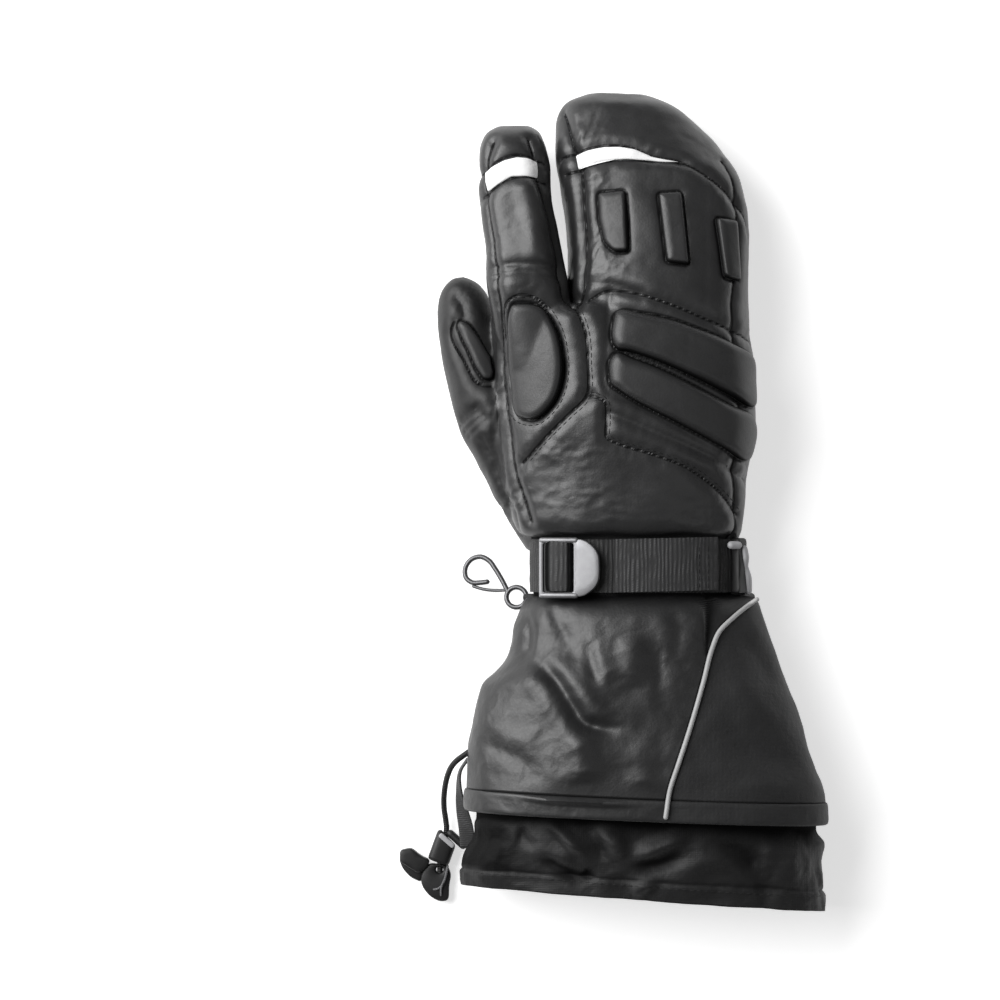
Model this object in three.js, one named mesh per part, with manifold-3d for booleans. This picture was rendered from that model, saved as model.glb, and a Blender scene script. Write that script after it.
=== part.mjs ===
// A three-finger winter mitt for the right hand, lying on its palm: thumb, index finger and one lobe for
// the other three fingers. The hand is a padded leather shell, the cuff a flared gauntlet with a nylon
// snow skirt, and a buckled strap closes the wrist. Millimetres. +X points to the little finger, +Y to
// the fingertips and +Z out of the back of the hand. The origin is the middle of the palm's resting face.
import * as THREE from "three";
import { mergeVertices } from "three/addons/utils/BufferGeometryUtils.js";
import Module from "manifold-3d";

// Driving sizes
const hand = { width: 118, length: 104.6, depth: 57, wall: 6 };
const lobe = { width: 87.5, length: 97.6, depth: 54 };
const index = { width: 34, length: 82.6, depth: 31 };
const thumb = { length: 125, width: 32, depth: 32 };
const gauntlet = { width: 164, length: 91.4, depth: 64, wall: 2.4, hem: 10, hemProud: 1.5 };
const skirt = { reach: 37, wall: 1.6, inside: 26, hem: 9, hemProud: 0.8 };
const strap = { width: 24, thickness: 1.8, tailLength: 45 };
const pads = { knuckle: 3.6, bar: 4.6, rib: 3 };
const palmPatch = { thickness: 1.2 };
const reflector = { thickness: 0.6 };
const piping = { diameter: 2.6 };
const buckle = { height: 30, frame: 20, tab: 10, rail: 2.6, thickness: 2.8 };
const sideBuckle = { height: 27, width: 11, thickness: 3, tabReach: 7 };
const hook = { length: 34, wire: 2.2, eye: 8.6 };
const drawCord = { diameter: 2.6 };
const cordTab = { width: 7, thickness: 1.2 };
const cordLock = { length: 14, width: 11, height: 8 };
const toggle = { hub: 11.5, tabLength: 16, tabWidth: 11, height: 6.5 };
const gap = 0.3;

// Where the driving sizes meet
const palmCentre = 0.4933; // share of the palm's length that lies above the origin
const crotchY = palmCentre * hand.length;
const wristY = crotchY - hand.length;
const strapClearance = 1.2;
const gauntletY = wristY - strap.width - 2 * strapClearance;
const strapY = (wristY + gauntletY) / 2;
const hemY = gauntletY - gauntlet.length;
const skirtTop = hemY - gauntlet.hem - gap;
const underside = palmPatch.thickness + gap;
const hemSlant = -0.04;
const skirtSlant = -0.072;
const waist = 0.45; // height of a section's widest point, as a share of its depth
const squareness = 2.35; // exponent of the rounded sections, where 2 is an ellipse

const wasm = await Module();
wasm.setup();

// A closed geometry as a solid that can be joined and cut, and back again
function solid(geometry) {
  const bare = new THREE.BufferGeometry().setAttribute(
    "position",
    geometry.getAttribute("position").clone(),
  );
  if (geometry.index) bare.setIndex(geometry.index.clone());
  const merged = mergeVertices(bare, 1e-4);
  return new wasm.Manifold(
    new wasm.Mesh({
      numProp: 3,
      vertProperties: new Float32Array(merged.getAttribute("position").array),
      triVerts: new Uint32Array(merged.index.array),
    }),
  );
}

function geometryOf(body) {
  const { vertProperties, triVerts } = body.getMesh();
  return new THREE.BufferGeometry()
    .setAttribute("position", new THREE.BufferAttribute(new Float32Array(vertProperties), 3))
    .setIndex(new THREE.BufferAttribute(new Uint32Array(triVerts), 1))
    .toNonIndexed();
}

const join = (...bodies) => bodies.reduce((sum, body) => sum.add(body));

// The one largest body of a cut, without the slivers that a cut can leave beside it
const largest = (body) => body.decompose().reduce((a, b) => (b.volume() > a.volume() ? b : a));

// Tables of sections. Rows are joined by a smooth curve through every column.
function smoothRows(rows, between) {
  const names = Object.keys(rows[0]);
  const row = (i) => rows[THREE.MathUtils.clamp(i, 0, rows.length - 1)];
  const curve = (a, b, c, d, t) =>
    b + 0.5 * t * (c - a + t * (2 * a - 5 * b + 4 * c - d + t * (3 * (b - c) + d - a)));
  const made = [];
  for (let i = 0; i < rows.length - 1; i++) {
    for (let j = 0; j <= between; j++) {
      const t = j / (between + 1);
      const near = [row(i - 1), row(i), row(i + 1), row(i + 2)];
      made.push(
        Object.fromEntries(names.map((n) => [n, curve(...near.map((r) => r[n]), t)])),
      );
    }
  }
  return [...made, rows.at(-1)];
}

// A section across the Y axis from its left, right, top and bottom edges
const across = (y, row, width, depth, slant = 0, rest = underside) => ({
  y,
  left: row.left * width,
  right: row.right * width,
  top: row.top * depth,
  bottom: row.bottom * depth,
  slant,
  rest,
});

function sectionRing(section, sides) {
  const { y, left, right, top, bottom, slant, rest } = section;
  const middle = (left + right) / 2;
  const height = bottom + waist * (top - bottom);
  return Array.from({ length: sides }, (_, k) => {
    const angle = (2 * Math.PI * k) / sides;
    const round = (v) => Math.sign(v) * Math.abs(v) ** (2 / squareness);
    const x = (round(Math.cos(angle)) * (right - left)) / 2;
    const rise = round(Math.sin(angle));
    const z = rise * (rise > 0 ? top - height : height - bottom);
    const point = new THREE.Vector3(middle + x, y + slant * (middle + x), height + z);
    point.rest = rest;
    return point;
  });
}

// Soft folds and dents of the leather and cloth, each a valley along a line on the back of the mitt
const foldRows = [
  // x and y of the middle, and reach along and across: shares of the gauntlet's width and length
  { x: -0.3, y: -0.3, turn: 55, along: 0.2, width: 0.07, depth: 2.6 },
  { x: -0.12, y: -0.17, turn: 15, along: 0.16, width: 0.05, depth: 1.8 },
  { x: -0.2, y: -0.62, turn: 70, along: 0.17, width: 0.08, depth: 2.2 },
  { x: 0.02, y: -0.48, turn: 80, along: 0.3, width: 0.09, depth: 1.6 },
  { x: 0.36, y: -0.55, turn: -68, along: 0.3, width: 0.06, depth: 1.8 },
  { x: -0.22, y: -1.19, turn: 40, along: 0.14, width: 0.05, depth: 2.4 },
  { x: 0.05, y: -1.2, turn: -50, along: 0.14, width: 0.05, depth: 2.6 },
  { x: 0.3, y: -1.19, turn: 25, along: 0.15, width: 0.05, depth: 2.2 },
];
function foldDepth(point, up) {
  const facing = THREE.MathUtils.smoothstep(up, 0, 0.5);
  return foldRows.reduce((sum, fold) => {
    const dx = point.x - fold.x * gauntlet.width;
    const dy = point.y - (gauntletY + fold.y * gauntlet.length);
    const turn = THREE.MathUtils.degToRad(fold.turn);
    const along = (dx * Math.cos(turn) + dy * Math.sin(turn)) / (fold.along * gauntlet.width);
    const aside = (dy * Math.cos(turn) - dx * Math.sin(turn)) / (fold.width * gauntlet.width);
    return sum + facing * fold.depth * Math.exp(-along * along - aside * aside);
  }, 0);
}

// A closed tube through rings of points, every point moved out by grow along the surface's normal.
// What lies below its ring's resting height is pressed flat.
function loft(rings, grow) {
  const sides = rings[0].length;
  const last = rings.length - 1;
  const at = (i, k) => rings[THREE.MathUtils.clamp(i, 0, last)][(k + sides) % sides];
  const points = [];
  for (let i = 0; i <= last; i++) {
    for (let k = 0; k < sides; k++) {
      const round = at(i, k + 1).clone().sub(at(i, k - 1));
      const along = at(i + 1, k).clone().sub(at(i - 1, k));
      const normal = along.cross(round).normalize();
      const point = at(i, k);
      const moved = point.clone().addScaledVector(normal, grow - foldDepth(point, normal.z));
      moved.z = Math.max(moved.z, point.rest - grow);
      points.push(moved);
    }
  }
  const centre = (i) =>
    points
      .slice(i * sides, (i + 1) * sides)
      .reduce((sum, p) => sum.add(p), new THREE.Vector3())
      .divideScalar(sides);
  const axis = centre(last).sub(centre(last - 1)).normalize();
  points.push(centre(0), centre(last).addScaledVector(axis, Math.max(0, grow) / 4));
  const faces = [];
  for (let k = 0; k < sides; k++) {
    const next = (k + 1) % sides;
    faces.push(sides * (last + 1), k, next);
    faces.push(sides * (last + 1) + 1, last * sides + next, last * sides + k);
    for (let i = 0; i < last; i++) {
      const [a, b] = [i * sides + k, i * sides + next];
      faces.push(a, a + sides, b, b, a + sides, b + sides);
    }
  }
  const geometry = new THREE.BufferGeometry().setFromPoints(points).setIndex(faces);
  return solid(geometry);
}

// The sleeve: snow skirt, gauntlet, wrist and palm are one tapering tube, cut off where the skirt ends.
// left and right are shares of the width, top and bottom of the depth, at runs from the wrist.
const skirtRows = [
  { at: 1.3, left: -0.54, right: 0.508, top: 0.82, bottom: -0.05 },
  { at: 1.0, left: -0.536, right: 0.504, top: 0.86, bottom: -0.05 },
  { at: 0.55, left: -0.524, right: 0.496, top: 0.92, bottom: -0.05 },
  { at: 0.12, left: -0.517, right: 0.492, top: 0.98, bottom: -0.05 },
];
const hemRow = { left: -0.511, right: 0.49, top: 1.0, bottom: -0.05 };
const gauntletRows = [
  { at: 0.97, left: -0.509, right: 0.487, top: 1.0, bottom: -0.04 },
  { at: 0.81, left: -0.504, right: 0.454, top: 0.99, bottom: -0.03 },
  { at: 0.63, left: -0.49, right: 0.42, top: 0.97, bottom: -0.02 },
  { at: 0.46, left: -0.466, right: 0.386, top: 0.94, bottom: 0 },
  { at: 0.28, left: -0.384, right: 0.347, top: 0.9, bottom: 0.02 },
  { at: 0.12, left: -0.366, right: 0.317, top: 0.88, bottom: 0.04 },
  { at: 0.02, left: -0.341, right: 0.294, top: 0.83, bottom: 0.06 },
];
const palmRows = [
  { at: 0.015, left: -0.495, right: 0.347, top: 0.94, bottom: 0.07 },
  { at: 0.08, left: -0.525, right: 0.355, top: 0.985, bottom: 0.02 },
  { at: 0.25, left: -0.555, right: 0.37, top: 0.995, bottom: -0.03 },
  { at: 0.48, left: -0.576, right: 0.41, top: 1.015, bottom: -0.04 },
  { at: 0.75, left: -0.597, right: 0.4, top: 1.0, bottom: -0.03 },
  { at: 0.94, left: -0.605, right: 0.376, top: 0.955, bottom: 0.01 },
  { at: 1.0, left: -0.575, right: 0.355, top: 0.87, bottom: 0.09 },
];
const wristRow = { left: -0.447, right: 0.339, top: 0.825, bottom: 0.12 };
const skirtRest = gauntlet.wall + gap - skirt.hemProud;
const palmSections = smoothRows(palmRows, 0).map((r) =>
  across(wristY + r.at * hand.length, r, hand.width, hand.depth),
);
const sleeveSections = [
  ...skirtRows.map((r) => {
    const slant = THREE.MathUtils.lerp(hemSlant, skirtSlant, r.at);
    const y = skirtTop - r.at * skirt.reach;
    return across(y, r, gauntlet.width, gauntlet.depth, slant, -skirtRest);
  }),
  across(skirtTop, hemRow, gauntlet.width, gauntlet.depth, hemSlant),
  ...gauntletRows.map((r) => {
    const slant = hemSlant * THREE.MathUtils.smoothstep(r.at, 0.4, 0.9);
    return across(gauntletY - r.at * gauntlet.length, r, gauntlet.width, gauntlet.depth, slant);
  }),
  across(gauntletY, wristRow, hand.width, hand.depth),
  across(wristY, wristRow, hand.width, hand.depth),
  ...palmSections,
];
const sleeveSides = 24;
const cached = new Map();
function once(name, grow, make) {
  const key = `${name} ${grow.toFixed(4)}`;
  if (!cached.has(key)) cached.set(key, make());
  return cached.get(key);
}
const sleeve = (grow, sides = sleeveSides) =>
  once(`sleeve ${sides}`, grow, () => loft(sleeveSections.map((s) => sectionRing(s, sides)), grow));

// The lobe for three fingers and the index finger grow out of the palm.
const lobeRows = [
  { at: -0.5, left: -0.36, right: 0.5, top: 0.95, bottom: -0.02 },
  { at: -0.2, left: -0.38, right: 0.52, top: 1.0, bottom: -0.03 },
  { at: 0.03, left: -0.39, right: 0.51, top: 1.0, bottom: -0.03 },
  { at: 0.34, left: -0.44, right: 0.513, top: 0.92, bottom: -0.01 },
  { at: 0.57, left: -0.468, right: 0.476, top: 0.84, bottom: 0.01 },
  { at: 0.74, left: -0.485, right: 0.37, top: 0.74, bottom: 0.02 },
  { at: 0.86, left: -0.482, right: 0.21, top: 0.65, bottom: 0.04 },
  { at: 0.95, left: -0.43, right: 0.065, top: 0.55, bottom: 0.09 },
  { at: 1.0, left: -0.31, right: -0.08, top: 0.39, bottom: 0.2 },
];
const indexRows = [
  { at: -0.62, left: -1.7, right: -1.1, top: 1.25, bottom: 0.65 },
  { at: -0.3, left: -1.98, right: -0.98, top: 1.6, bottom: 0.5 },
  { at: 0.02, left: -2.125, right: -1.06, top: 1.64, bottom: 0.62 },
  { at: 0.3, left: -2.19, right: -1.145, top: 1.56, bottom: 0.56 },
  { at: 0.64, left: -2.255, right: -1.355, top: 1.4, bottom: 0.42 },
  { at: 0.86, left: -2.27, right: -1.435, top: 1.24, bottom: 0.34 },
  { at: 0.96, left: -2.15, right: -1.53, top: 1.06, bottom: 0.42 },
  { at: 1.0, left: -1.95, right: -1.71, top: 0.87, bottom: 0.6 },
];
const fingerRings = (rows, size, sides) =>
  rows.map((r) =>
    sectionRing(across(crotchY + r.at * size.length, r, size.width, size.depth), sides),
  );
const handBody = (grow) =>
  once("hand", grow, () =>
    join(
      sleeve(grow),
      loft(fingerRings(lobeRows, lobe, 18), grow),
      loft(fingerRings(indexRows, index, 14), grow),
    ),
  );

// The thumb leaves the heel of the palm on the index finger's side and lies beside the hand.
// x, y and z of its centreline are shares of its length, wide and deep its half sections.
const thumbRows = [
  { x: -0.02, y: -0.03, z: 0.01, wide: 0.42, deep: 0.4 },
  { x: -0.12, y: 0.163, z: 0.0, wide: 0.48, deep: 0.47 },
  { x: -0.229, y: 0.382, z: -0.01, wide: 0.5, deep: 0.5 },
  { x: -0.285, y: 0.53, z: -0.018, wide: 0.48, deep: 0.49 },
  { x: -0.325, y: 0.68, z: -0.025, wide: 0.45, deep: 0.47 },
  { x: -0.354, y: 0.82, z: -0.034, wide: 0.38, deep: 0.4 },
  { x: -0.366, y: 0.89, z: -0.038, wide: 0.26, deep: 0.29 },
  { x: -0.371, y: 0.924, z: -0.04, wide: 0.1, deep: 0.12 },
];
const thumbRoot = new THREE.Vector3(-0.347 * hand.width, wristY + 0.03 * hand.length, 18.5);
const thumbSides = 12;
const thumbCentres = thumbRows.map((r) =>
  new THREE.Vector3(r.x, r.y, r.z).multiplyScalar(thumb.length).add(thumbRoot),
);
const thumbRings = thumbRows.map((r, i) => {
  const ahead = thumbCentres[Math.min(i + 1, thumbRows.length - 1)];
  const axis = ahead.clone().sub(thumbCentres[Math.max(i - 1, 0)]).normalize();
  const side = axis.clone().cross(new THREE.Vector3(0, 0, 1)).normalize();
  const up = side.clone().cross(axis);
  return Array.from({ length: thumbSides }, (_, k) => {
    const angle = (2 * Math.PI * k) / thumbSides;
    const point = thumbCentres[i]
      .clone()
      .addScaledVector(side, Math.cos(angle) * r.wide * thumb.width)
      .addScaledVector(up, Math.sin(angle) * r.deep * thumb.depth);
    point.rest = underside;
    return point;
  });
});
const thumbBody = (grow) => once("thumb", grow, () => loft(thumbRings, grow));

// Cutters
const far = 400;
function slab(fromY, toY, slant = 0, turn = 0) {
  const box = new THREE.BoxGeometry(far, toY - fromY, far);
  const shear = new THREE.Matrix4().makeShear(slant, 0, 0, 0, 0, 0);
  box.applyMatrix4(shear);
  box.rotateZ(turn);
  box.translate(0, (fromY + toY) / 2, 0);
  return solid(box);
}

function prism(points, fromZ, toZ) {
  const shape = new THREE.Shape(points.map(([x, y]) => new THREE.Vector2(x, y)));
  const depth = toZ - fromZ;
  const body = new THREE.ExtrudeGeometry(shape, { depth, bevelEnabled: false, steps: 1 });
  body.translate(0, 0, fromZ);
  return solid(body);
}

// Everything above a line drawn in the YZ plane, from the cuff to the fingertips
function above(line, lift = 0) {
  const shape = new THREE.Shape([
    ...line.map(([y, z]) => new THREE.Vector2(y, z + lift)),
    new THREE.Vector2(line.at(-1)[0], far),
    new THREE.Vector2(line[0][0], far),
  ]);
  const body = new THREE.ExtrudeGeometry(shape, { depth: far, bevelEnabled: false, steps: 1 });
  body.translate(0, 0, -far / 2);
  body.applyMatrix4(
    new THREE.Matrix4().set(0, 0, 1, 0, 1, 0, 0, 0, 0, 1, 0, 0, 0, 0, 0, 1),
  );
  return solid(body);
}

// The seam between the back panel and the palm panel, which wraps round the sides
const backSeam = [
  [gauntletY - far, 0.66 * hand.depth],
  [wristY, 0.66 * hand.depth],
  [wristY + 0.3 * hand.length, 0.76 * hand.depth],
  [crotchY, 0.78 * hand.depth],
  [crotchY + 0.4 * lobe.length, 0.69 * lobe.depth],
  [crotchY + 0.75 * lobe.length, 0.54 * lobe.depth],
  [crotchY + lobe.length, 0.42 * lobe.depth],
  [crotchY + lobe.length + far, 0.42 * lobe.depth],
];
const aboveSeam = above(backSeam, gap / 2);
const belowSeam = above(backSeam, -gap / 2);

// A layer of even thickness that lies on a body, inside an outline seen from above
function layer(body, outline, thickness, lift = gap) {
  return largest(
    prism(outline, 0, far)
      .intersect(body(lift + thickness))
      .subtract(body(lift)),
  );
}

// Outlines. Rows are shares of the piece's own width and length.
const placed = (rows, { x, y, width, length, turn = 0 }) => {
  const angle = THREE.MathUtils.degToRad(turn);
  return rows.map(([u, v]) => [
    x + u * width * Math.cos(angle) - v * length * Math.sin(angle),
    y + u * width * Math.sin(angle) + v * length * Math.cos(angle),
  ]);
};
const rounded = (corner) =>
  [0, 1, 2, 3].flatMap((quarter) =>
    [0, 1, 2].map((step) => {
      const angle = (Math.PI / 2) * (quarter + step / 2);
      const sign = [
        [1, 1],
        [-1, 1],
        [-1, -1],
        [1, -1],
      ][quarter];
      return [
        sign[0] * (0.5 - corner) + corner * Math.cos(angle),
        sign[1] * (0.5 - corner * 0.45) + corner * 0.45 * Math.sin(angle),
      ];
    }),
  );
const teardrop = [
  [-0.5, 0.3],
  [-0.28, 0.5],
  [0.05, 0.49],
  [0.34, 0.33],
  [0.48, 0.1],
  [0.5, -0.2],
  [0.36, -0.33],
  [0.0, -0.49],
  [-0.26, -0.5],
  [-0.43, -0.34],
  [-0.5, 0.0],
];
const upperBar = [
  [-0.43, 0.49],
  [-0.18, 0.44],
  [0.01, 0.37],
  [0.2, 0.24],
  [0.38, 0.12],
  [0.47, 0.02],
  [0.5, -0.25],
  [0.465, -0.49],
  [0.25, -0.34],
  [-0.01, -0.17],
  [-0.24, -0.03],
  [-0.49, 0.12],
  [-0.5, 0.34],
];
const lowerBar = [
  [-0.49, 0.49],
  [-0.31, 0.41],
  [-0.06, 0.26],
  [0.21, 0.08],
  [0.466, -0.07],
  [0.5, -0.17],
  [0.466, -0.42],
  [0.425, -0.5],
  [0.26, -0.38],
  [0.0, -0.19],
  [-0.26, -0.01],
  [-0.43, 0.12],
  [-0.5, 0.22],
];
const indexBand = [
  [-0.5, -0.08],
  [-0.27, 0.3],
  [0.1, 0.48],
  [0.5, 0.26],
  [0.5, -0.14],
  [0.12, -0.06],
  [-0.25, -0.18],
  [-0.5, -0.52],
];
const lobeBand = [
  [-0.5, 0.14],
  [-0.36, 0.38],
  [-0.1, 0.5],
  [0.05, 0.43],
  [0.2, 0.15],
  [0.36, -0.05],
  [0.5, -0.2],
  [0.2, -0.26],
  [-0.1, -0.16],
  [-0.3, -0.3],
  [-0.46, -0.52],
];
const heelPatch = [
  [-0.5, 0.3],
  [-0.42, 0.5],
  [0.42, 0.46],
  [0.5, 0.3],
  [0.5, -0.2],
  [0.38, -0.42],
  [0.2, -0.5],
  [-0.44, -0.5],
  [-0.5, -0.42],
];
const group = new THREE.Group();
const finishes = {
  leather: { color: 0x262628, roughness: 0.42, metalness: 0 },
  padLeather: { color: 0x222224, roughness: 0.46, metalness: 0 },
  nylon: { color: 0x2b2b2d, roughness: 0.7, metalness: 0 },
  reflective: { color: 0xf4f4f4, roughness: 0.5, metalness: 0 },
  pipingGrey: { color: 0xb9b9b9, roughness: 0.5, metalness: 0 },
  webbing: { color: 0x242426, roughness: 0.75, metalness: 0 },
  buckleMetal: { color: 0x9a9a9c, roughness: 0.35, metalness: 0.85 },
  plastic: { color: 0x2d2d2f, roughness: 0.4, metalness: 0 },
};
function add(name, body, finish) {
  const mesh = new THREE.Mesh(
    geometryOf(body),
    new THREE.MeshStandardMaterial(finishes[finish]),
  );
  mesh.name = name;
  group.add(mesh);
  return mesh;
}

// Padded hand: back panel, palm panel and thumb
const handPart = slab(strapY + gap / 2, far);
const cavity = join(
  sleeve(-hand.wall, 16),
  loft(fingerRings(lobeRows, lobe, 12), -hand.wall),
  loft(fingerRings(indexRows, index, 8), -hand.wall),
);
const thumbCavity = thumbBody(-hand.wall);
const handShell = handBody(0).subtract(cavity).subtract(thumbCavity).intersect(handPart);
add("hand_back", largest(handShell.intersect(aboveSeam)), "leather");
add("hand_palm", largest(handShell.subtract(belowSeam)), "leather");
add(
  "thumb_shell",
  largest(
    thumbBody(0).subtract(thumbCavity).subtract(handBody(gap)).intersect(slab(wristY, far)),
  ),
  "leather",
);

// Raised pads on the back of the hand
const handPads = [
  {
    name: "index_knuckle_pad",
    rows: teardrop,
    height: pads.knuckle,
    x: -0.436 * hand.width,
    y: crotchY - 0.247 * hand.length,
    width: 0.195 * hand.width,
    length: 0.483 * hand.length,
  },
  {
    name: "knuckle_bar_upper",
    rows: upperBar,
    height: pads.bar,
    x: 0.131 * hand.width,
    y: crotchY - 0.247 * hand.length,
    width: 0.56 * hand.width,
    length: 0.421 * hand.length,
  },
  {
    name: "knuckle_bar_lower",
    rows: lowerBar,
    height: pads.bar,
    x: 0.123 * hand.width,
    y: crotchY - 0.447 * hand.length,
    width: 0.568 * hand.width,
    length: 0.483 * hand.length,
  },
];
const ribRows = [
  // x and y of the middle, width and length are shares of the lobe's width and length
  { x: -0.195, y: 0.39, turn: 5, width: 0.137, length: 0.287 },
  { x: 0.109, y: 0.357, turn: 4, width: 0.126, length: 0.338 },
  { x: 0.395, y: 0.265, turn: 7, width: 0.109, length: 0.297 },
];
ribRows.forEach((rib, i) =>
  handPads.push({
    ...rib,
    name: `finger_rib_${i + 1}`,
    rows: rounded(0.3),
    height: pads.rib,
    x: rib.x * lobe.width,
    y: crotchY + rib.y * lobe.length,
    width: rib.width * lobe.width,
    length: rib.length * lobe.length,
  }),
);
for (const pad of handPads) {
  const body = layer(handBody, placed(pad.rows, pad), pad.height);
  add(pad.name, largest(body.intersect(aboveSeam)), "padLeather");
}
const thumbPadSize = { width: 0.3125 * thumb.width, length: 0.248 * thumb.length, height: 2.4 };
const thumbPad = placed(rounded(0.42), {
  ...thumbPadSize,
  x: thumbRoot.x - 0.288 * thumb.length,
  y: thumbRoot.y + 0.575 * thumb.length,
  turn: 22,
});
add(
  "thumb_pad",
  largest(layer(thumbBody, thumbPad, thumbPadSize.height).subtract(handBody(gap))),
  "padLeather",
);

// Reflective bands below the two fingertips
add(
  "index_reflector",
  layer(
    handBody,
    placed(indexBand, {
      x: -1.82 * index.width,
      y: crotchY + 0.782 * index.length,
      width: 0.656 * index.width,
      length: 0.194 * index.length,
    }),
    reflector.thickness,
  ),
  "reflective",
);
add(
  "lobe_reflector",
  layer(
    handBody,
    placed(lobeBand, {
      x: -0.117 * lobe.width,
      y: crotchY + 0.697 * lobe.length,
      width: 0.537 * lobe.width,
      length: 0.113 * lobe.length,
    }),
    reflector.thickness,
  ),
  "reflective",
);

// The stitched heel patch on the palm, which the mitt rests on
function underLayer(outline, thickness) {
  const below = prism(outline, -far, 0.35 * hand.depth);
  return largest(
    below
      .intersect(handBody(gap + thickness))
      .subtract(handBody(gap))
      .subtract(thumbBody(gap)),
  );
}
add(
  "palm_heel_patch",
  underLayer(
    placed(heelPatch, {
      x: 0.03 * hand.width,
      y: -0.1 * hand.length,
      width: 0.525 * hand.width,
      length: 0.65 * hand.length,
    }),
    palmPatch.thickness,
  ),
  "leather",
);

// Pleated elastic under the wrist, where the palm leather and the cuff are drawn in
const gather = { length: 23, pleats: 13, depth: 2.6, base: 0.9 };
const gatherRows = [
  { at: -0.5, swell: 0.25 },
  { at: -0.25, swell: 1 },
  { at: 0, swell: 0.35 },
  { at: 0.25, swell: 1 },
  { at: 0.5, swell: 0.25 },
];
function wristPoint(angle, y, lift) {
  const section = across(y, wristRow, hand.width, hand.depth);
  const middle = (section.left + section.right) / 2;
  const height = section.bottom + waist * (section.top - section.bottom);
  const round = (v) => Math.sign(v) * Math.abs(v) ** (2 / squareness);
  const [c, s] = [Math.cos(angle), Math.sin(angle)];
  const half = (section.right - section.left) / 2 + lift;
  const low = height - section.bottom + lift;
  return new THREE.Vector3(middle + round(c) * half, y, height + round(s) * low);
}
function gatherBand() {
  const [from, to] = [Math.PI * 1.05, Math.PI * 1.95];
  const steps = gather.pleats * 3;
  const points = [];
  const faces = [];
  const width = gatherRows.length;
  for (let i = 0; i <= steps; i++) {
    const angle = from + ((to - from) * i) / steps;
    const pleat = 0.5 - 0.5 * Math.cos((2 * Math.PI * i) / 3);
    gatherRows.forEach((row) => {
      const y = strapY + row.at * gather.length;
      const lift = gap + gather.base + gather.depth * pleat * row.swell;
      points.push(wristPoint(angle, y, lift));
    });
    gatherRows.forEach((row) =>
      points.push(wristPoint(angle, strapY + row.at * gather.length, 0)),
    );
  }
  const at = (i, k) => i * 2 * width + k;
  for (let i = 0; i < steps; i++) {
    for (let k = 0; k < 2 * width; k++) {
      // Round the band's section: the pleated side, one edge, the plain side, the other edge
      const order = (n) => {
        const m = n % (2 * width);
        return m < width ? m : 3 * width - 1 - m;
      };
      const [a, b] = [order(k), order(k + 1)];
      faces.push(at(i, a), at(i, b), at(i + 1, a));
      faces.push(at(i, b), at(i + 1, b), at(i + 1, a));
    }
  }
  for (let k = 0; k < width - 1; k++) {
    faces.push(at(0, k), at(0, width + k), at(0, k + 1));
    faces.push(at(0, k + 1), at(0, width + k), at(0, width + k + 1));
    faces.push(at(steps, k), at(steps, k + 1), at(steps, width + k));
    faces.push(at(steps, k + 1), at(steps, width + k + 1), at(steps, width + k));
  }
  return solid(new THREE.BufferGeometry().setFromPoints(points).setIndex(faces));
}
add(
  "wrist_gather",
  largest(gatherBand().subtract(handBody(gap)).subtract(thumbBody(gap))),
  "leather",
);

// Accordion of leather ribs on the outer side of the thumb's root
const bellows = { ribs: 9, rib: 2.2, height: 2, base: 0.8 };
{
  const rows = [
    [-0.62, -0.5],
    [-0.3, -0.5],
    [0.12, 0.3],
    [0.1, 0.5],
    [-0.75, 0.5],
  ];
  const from = thumbRoot.y - 0.02 * thumb.length;
  const to = thumbRoot.y + 0.4 * thumb.length;
  const outline = placed(rows, {
    x: thumbRoot.x - 0.22 * thumb.length,
    y: (from + to) / 2,
    width: 0.94 * thumb.width,
    length: to - from,
    turn: 24,
  });
  const both = (grow) =>
    once("both", grow, () => join(thumbBody(grow), handBody(grow)));
  const base = layer(both, outline, bellows.base);
  const ridges = layer(both, outline, bellows.height);
  const pitch = (to - from) / (bellows.ribs + 1);
  const combs = Array.from({ length: bellows.ribs }, (_, i) => {
    const y = from + pitch * (i + 0.8);
    return slab(y - bellows.rib / 2, y + bellows.rib / 2, -0.35);
  });
  add("thumb_bellows", largest(base.add(ridges.intersect(join(...combs)))), "leather");
}

// Gauntlet: glossy leather on the back up to the piping, nylon on the right side and underneath
const pipingRows = [
  // x is a share of the gauntlet's width, at its run down the gauntlet
  { x: 0.31, at: 0 },
  { x: 0.293, at: 0.022 },
  { x: 0.228, at: 0.107 },
  { x: 0.185, at: 0.182 },
  { x: 0.166, at: 0.259 },
  { x: 0.141, at: 0.42 },
  { x: 0.108, at: 0.625 },
  { x: 0.07, at: 0.832 },
  { x: 0.049, at: 0.945 },
  { x: 0.036, at: 1.08 },
];
const pipingLine = pipingRows.map((r) => [
  r.x * gauntlet.width,
  gauntletY - r.at * gauntlet.length,
]);
const sideSeam = 0.42 * gauntlet.depth;
const backPanel = (aside, rise) =>
  prism(
    [
      [-far, strapY + far],
      [-far, hemY - far],
      [pipingLine.at(-1)[0] + aside, hemY - far],
      ...pipingLine.map(([x, y]) => [x + aside, y]).reverse(),
      [pipingLine[0][0] + aside, strapY + far],
    ],
    sideSeam + rise,
    far,
  );
const cuffPart = slab(hemY + gap, strapY - gap / 2, hemSlant);
const cuffTop = slab(-far, strapY - gap / 2);
const cuffShell = sleeve(0)
  .subtract(sleeve(-gauntlet.wall))
  .intersect(slab(hemY + gap, far, hemSlant))
  .intersect(cuffTop);
add("gauntlet_back", largest(cuffShell.intersect(backPanel(-0.25, gap / 2))), "leather");
add("gauntlet_nylon", largest(cuffShell.subtract(backPanel(0.25, -gap / 2))), "nylon");
const hemPart = slab(skirtTop + gap, hemY, hemSlant);
add(
  "gauntlet_hem",
  largest(sleeve(gauntlet.hemProud).subtract(sleeve(-gauntlet.wall)).intersect(hemPart)),
  "nylon",
);

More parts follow.
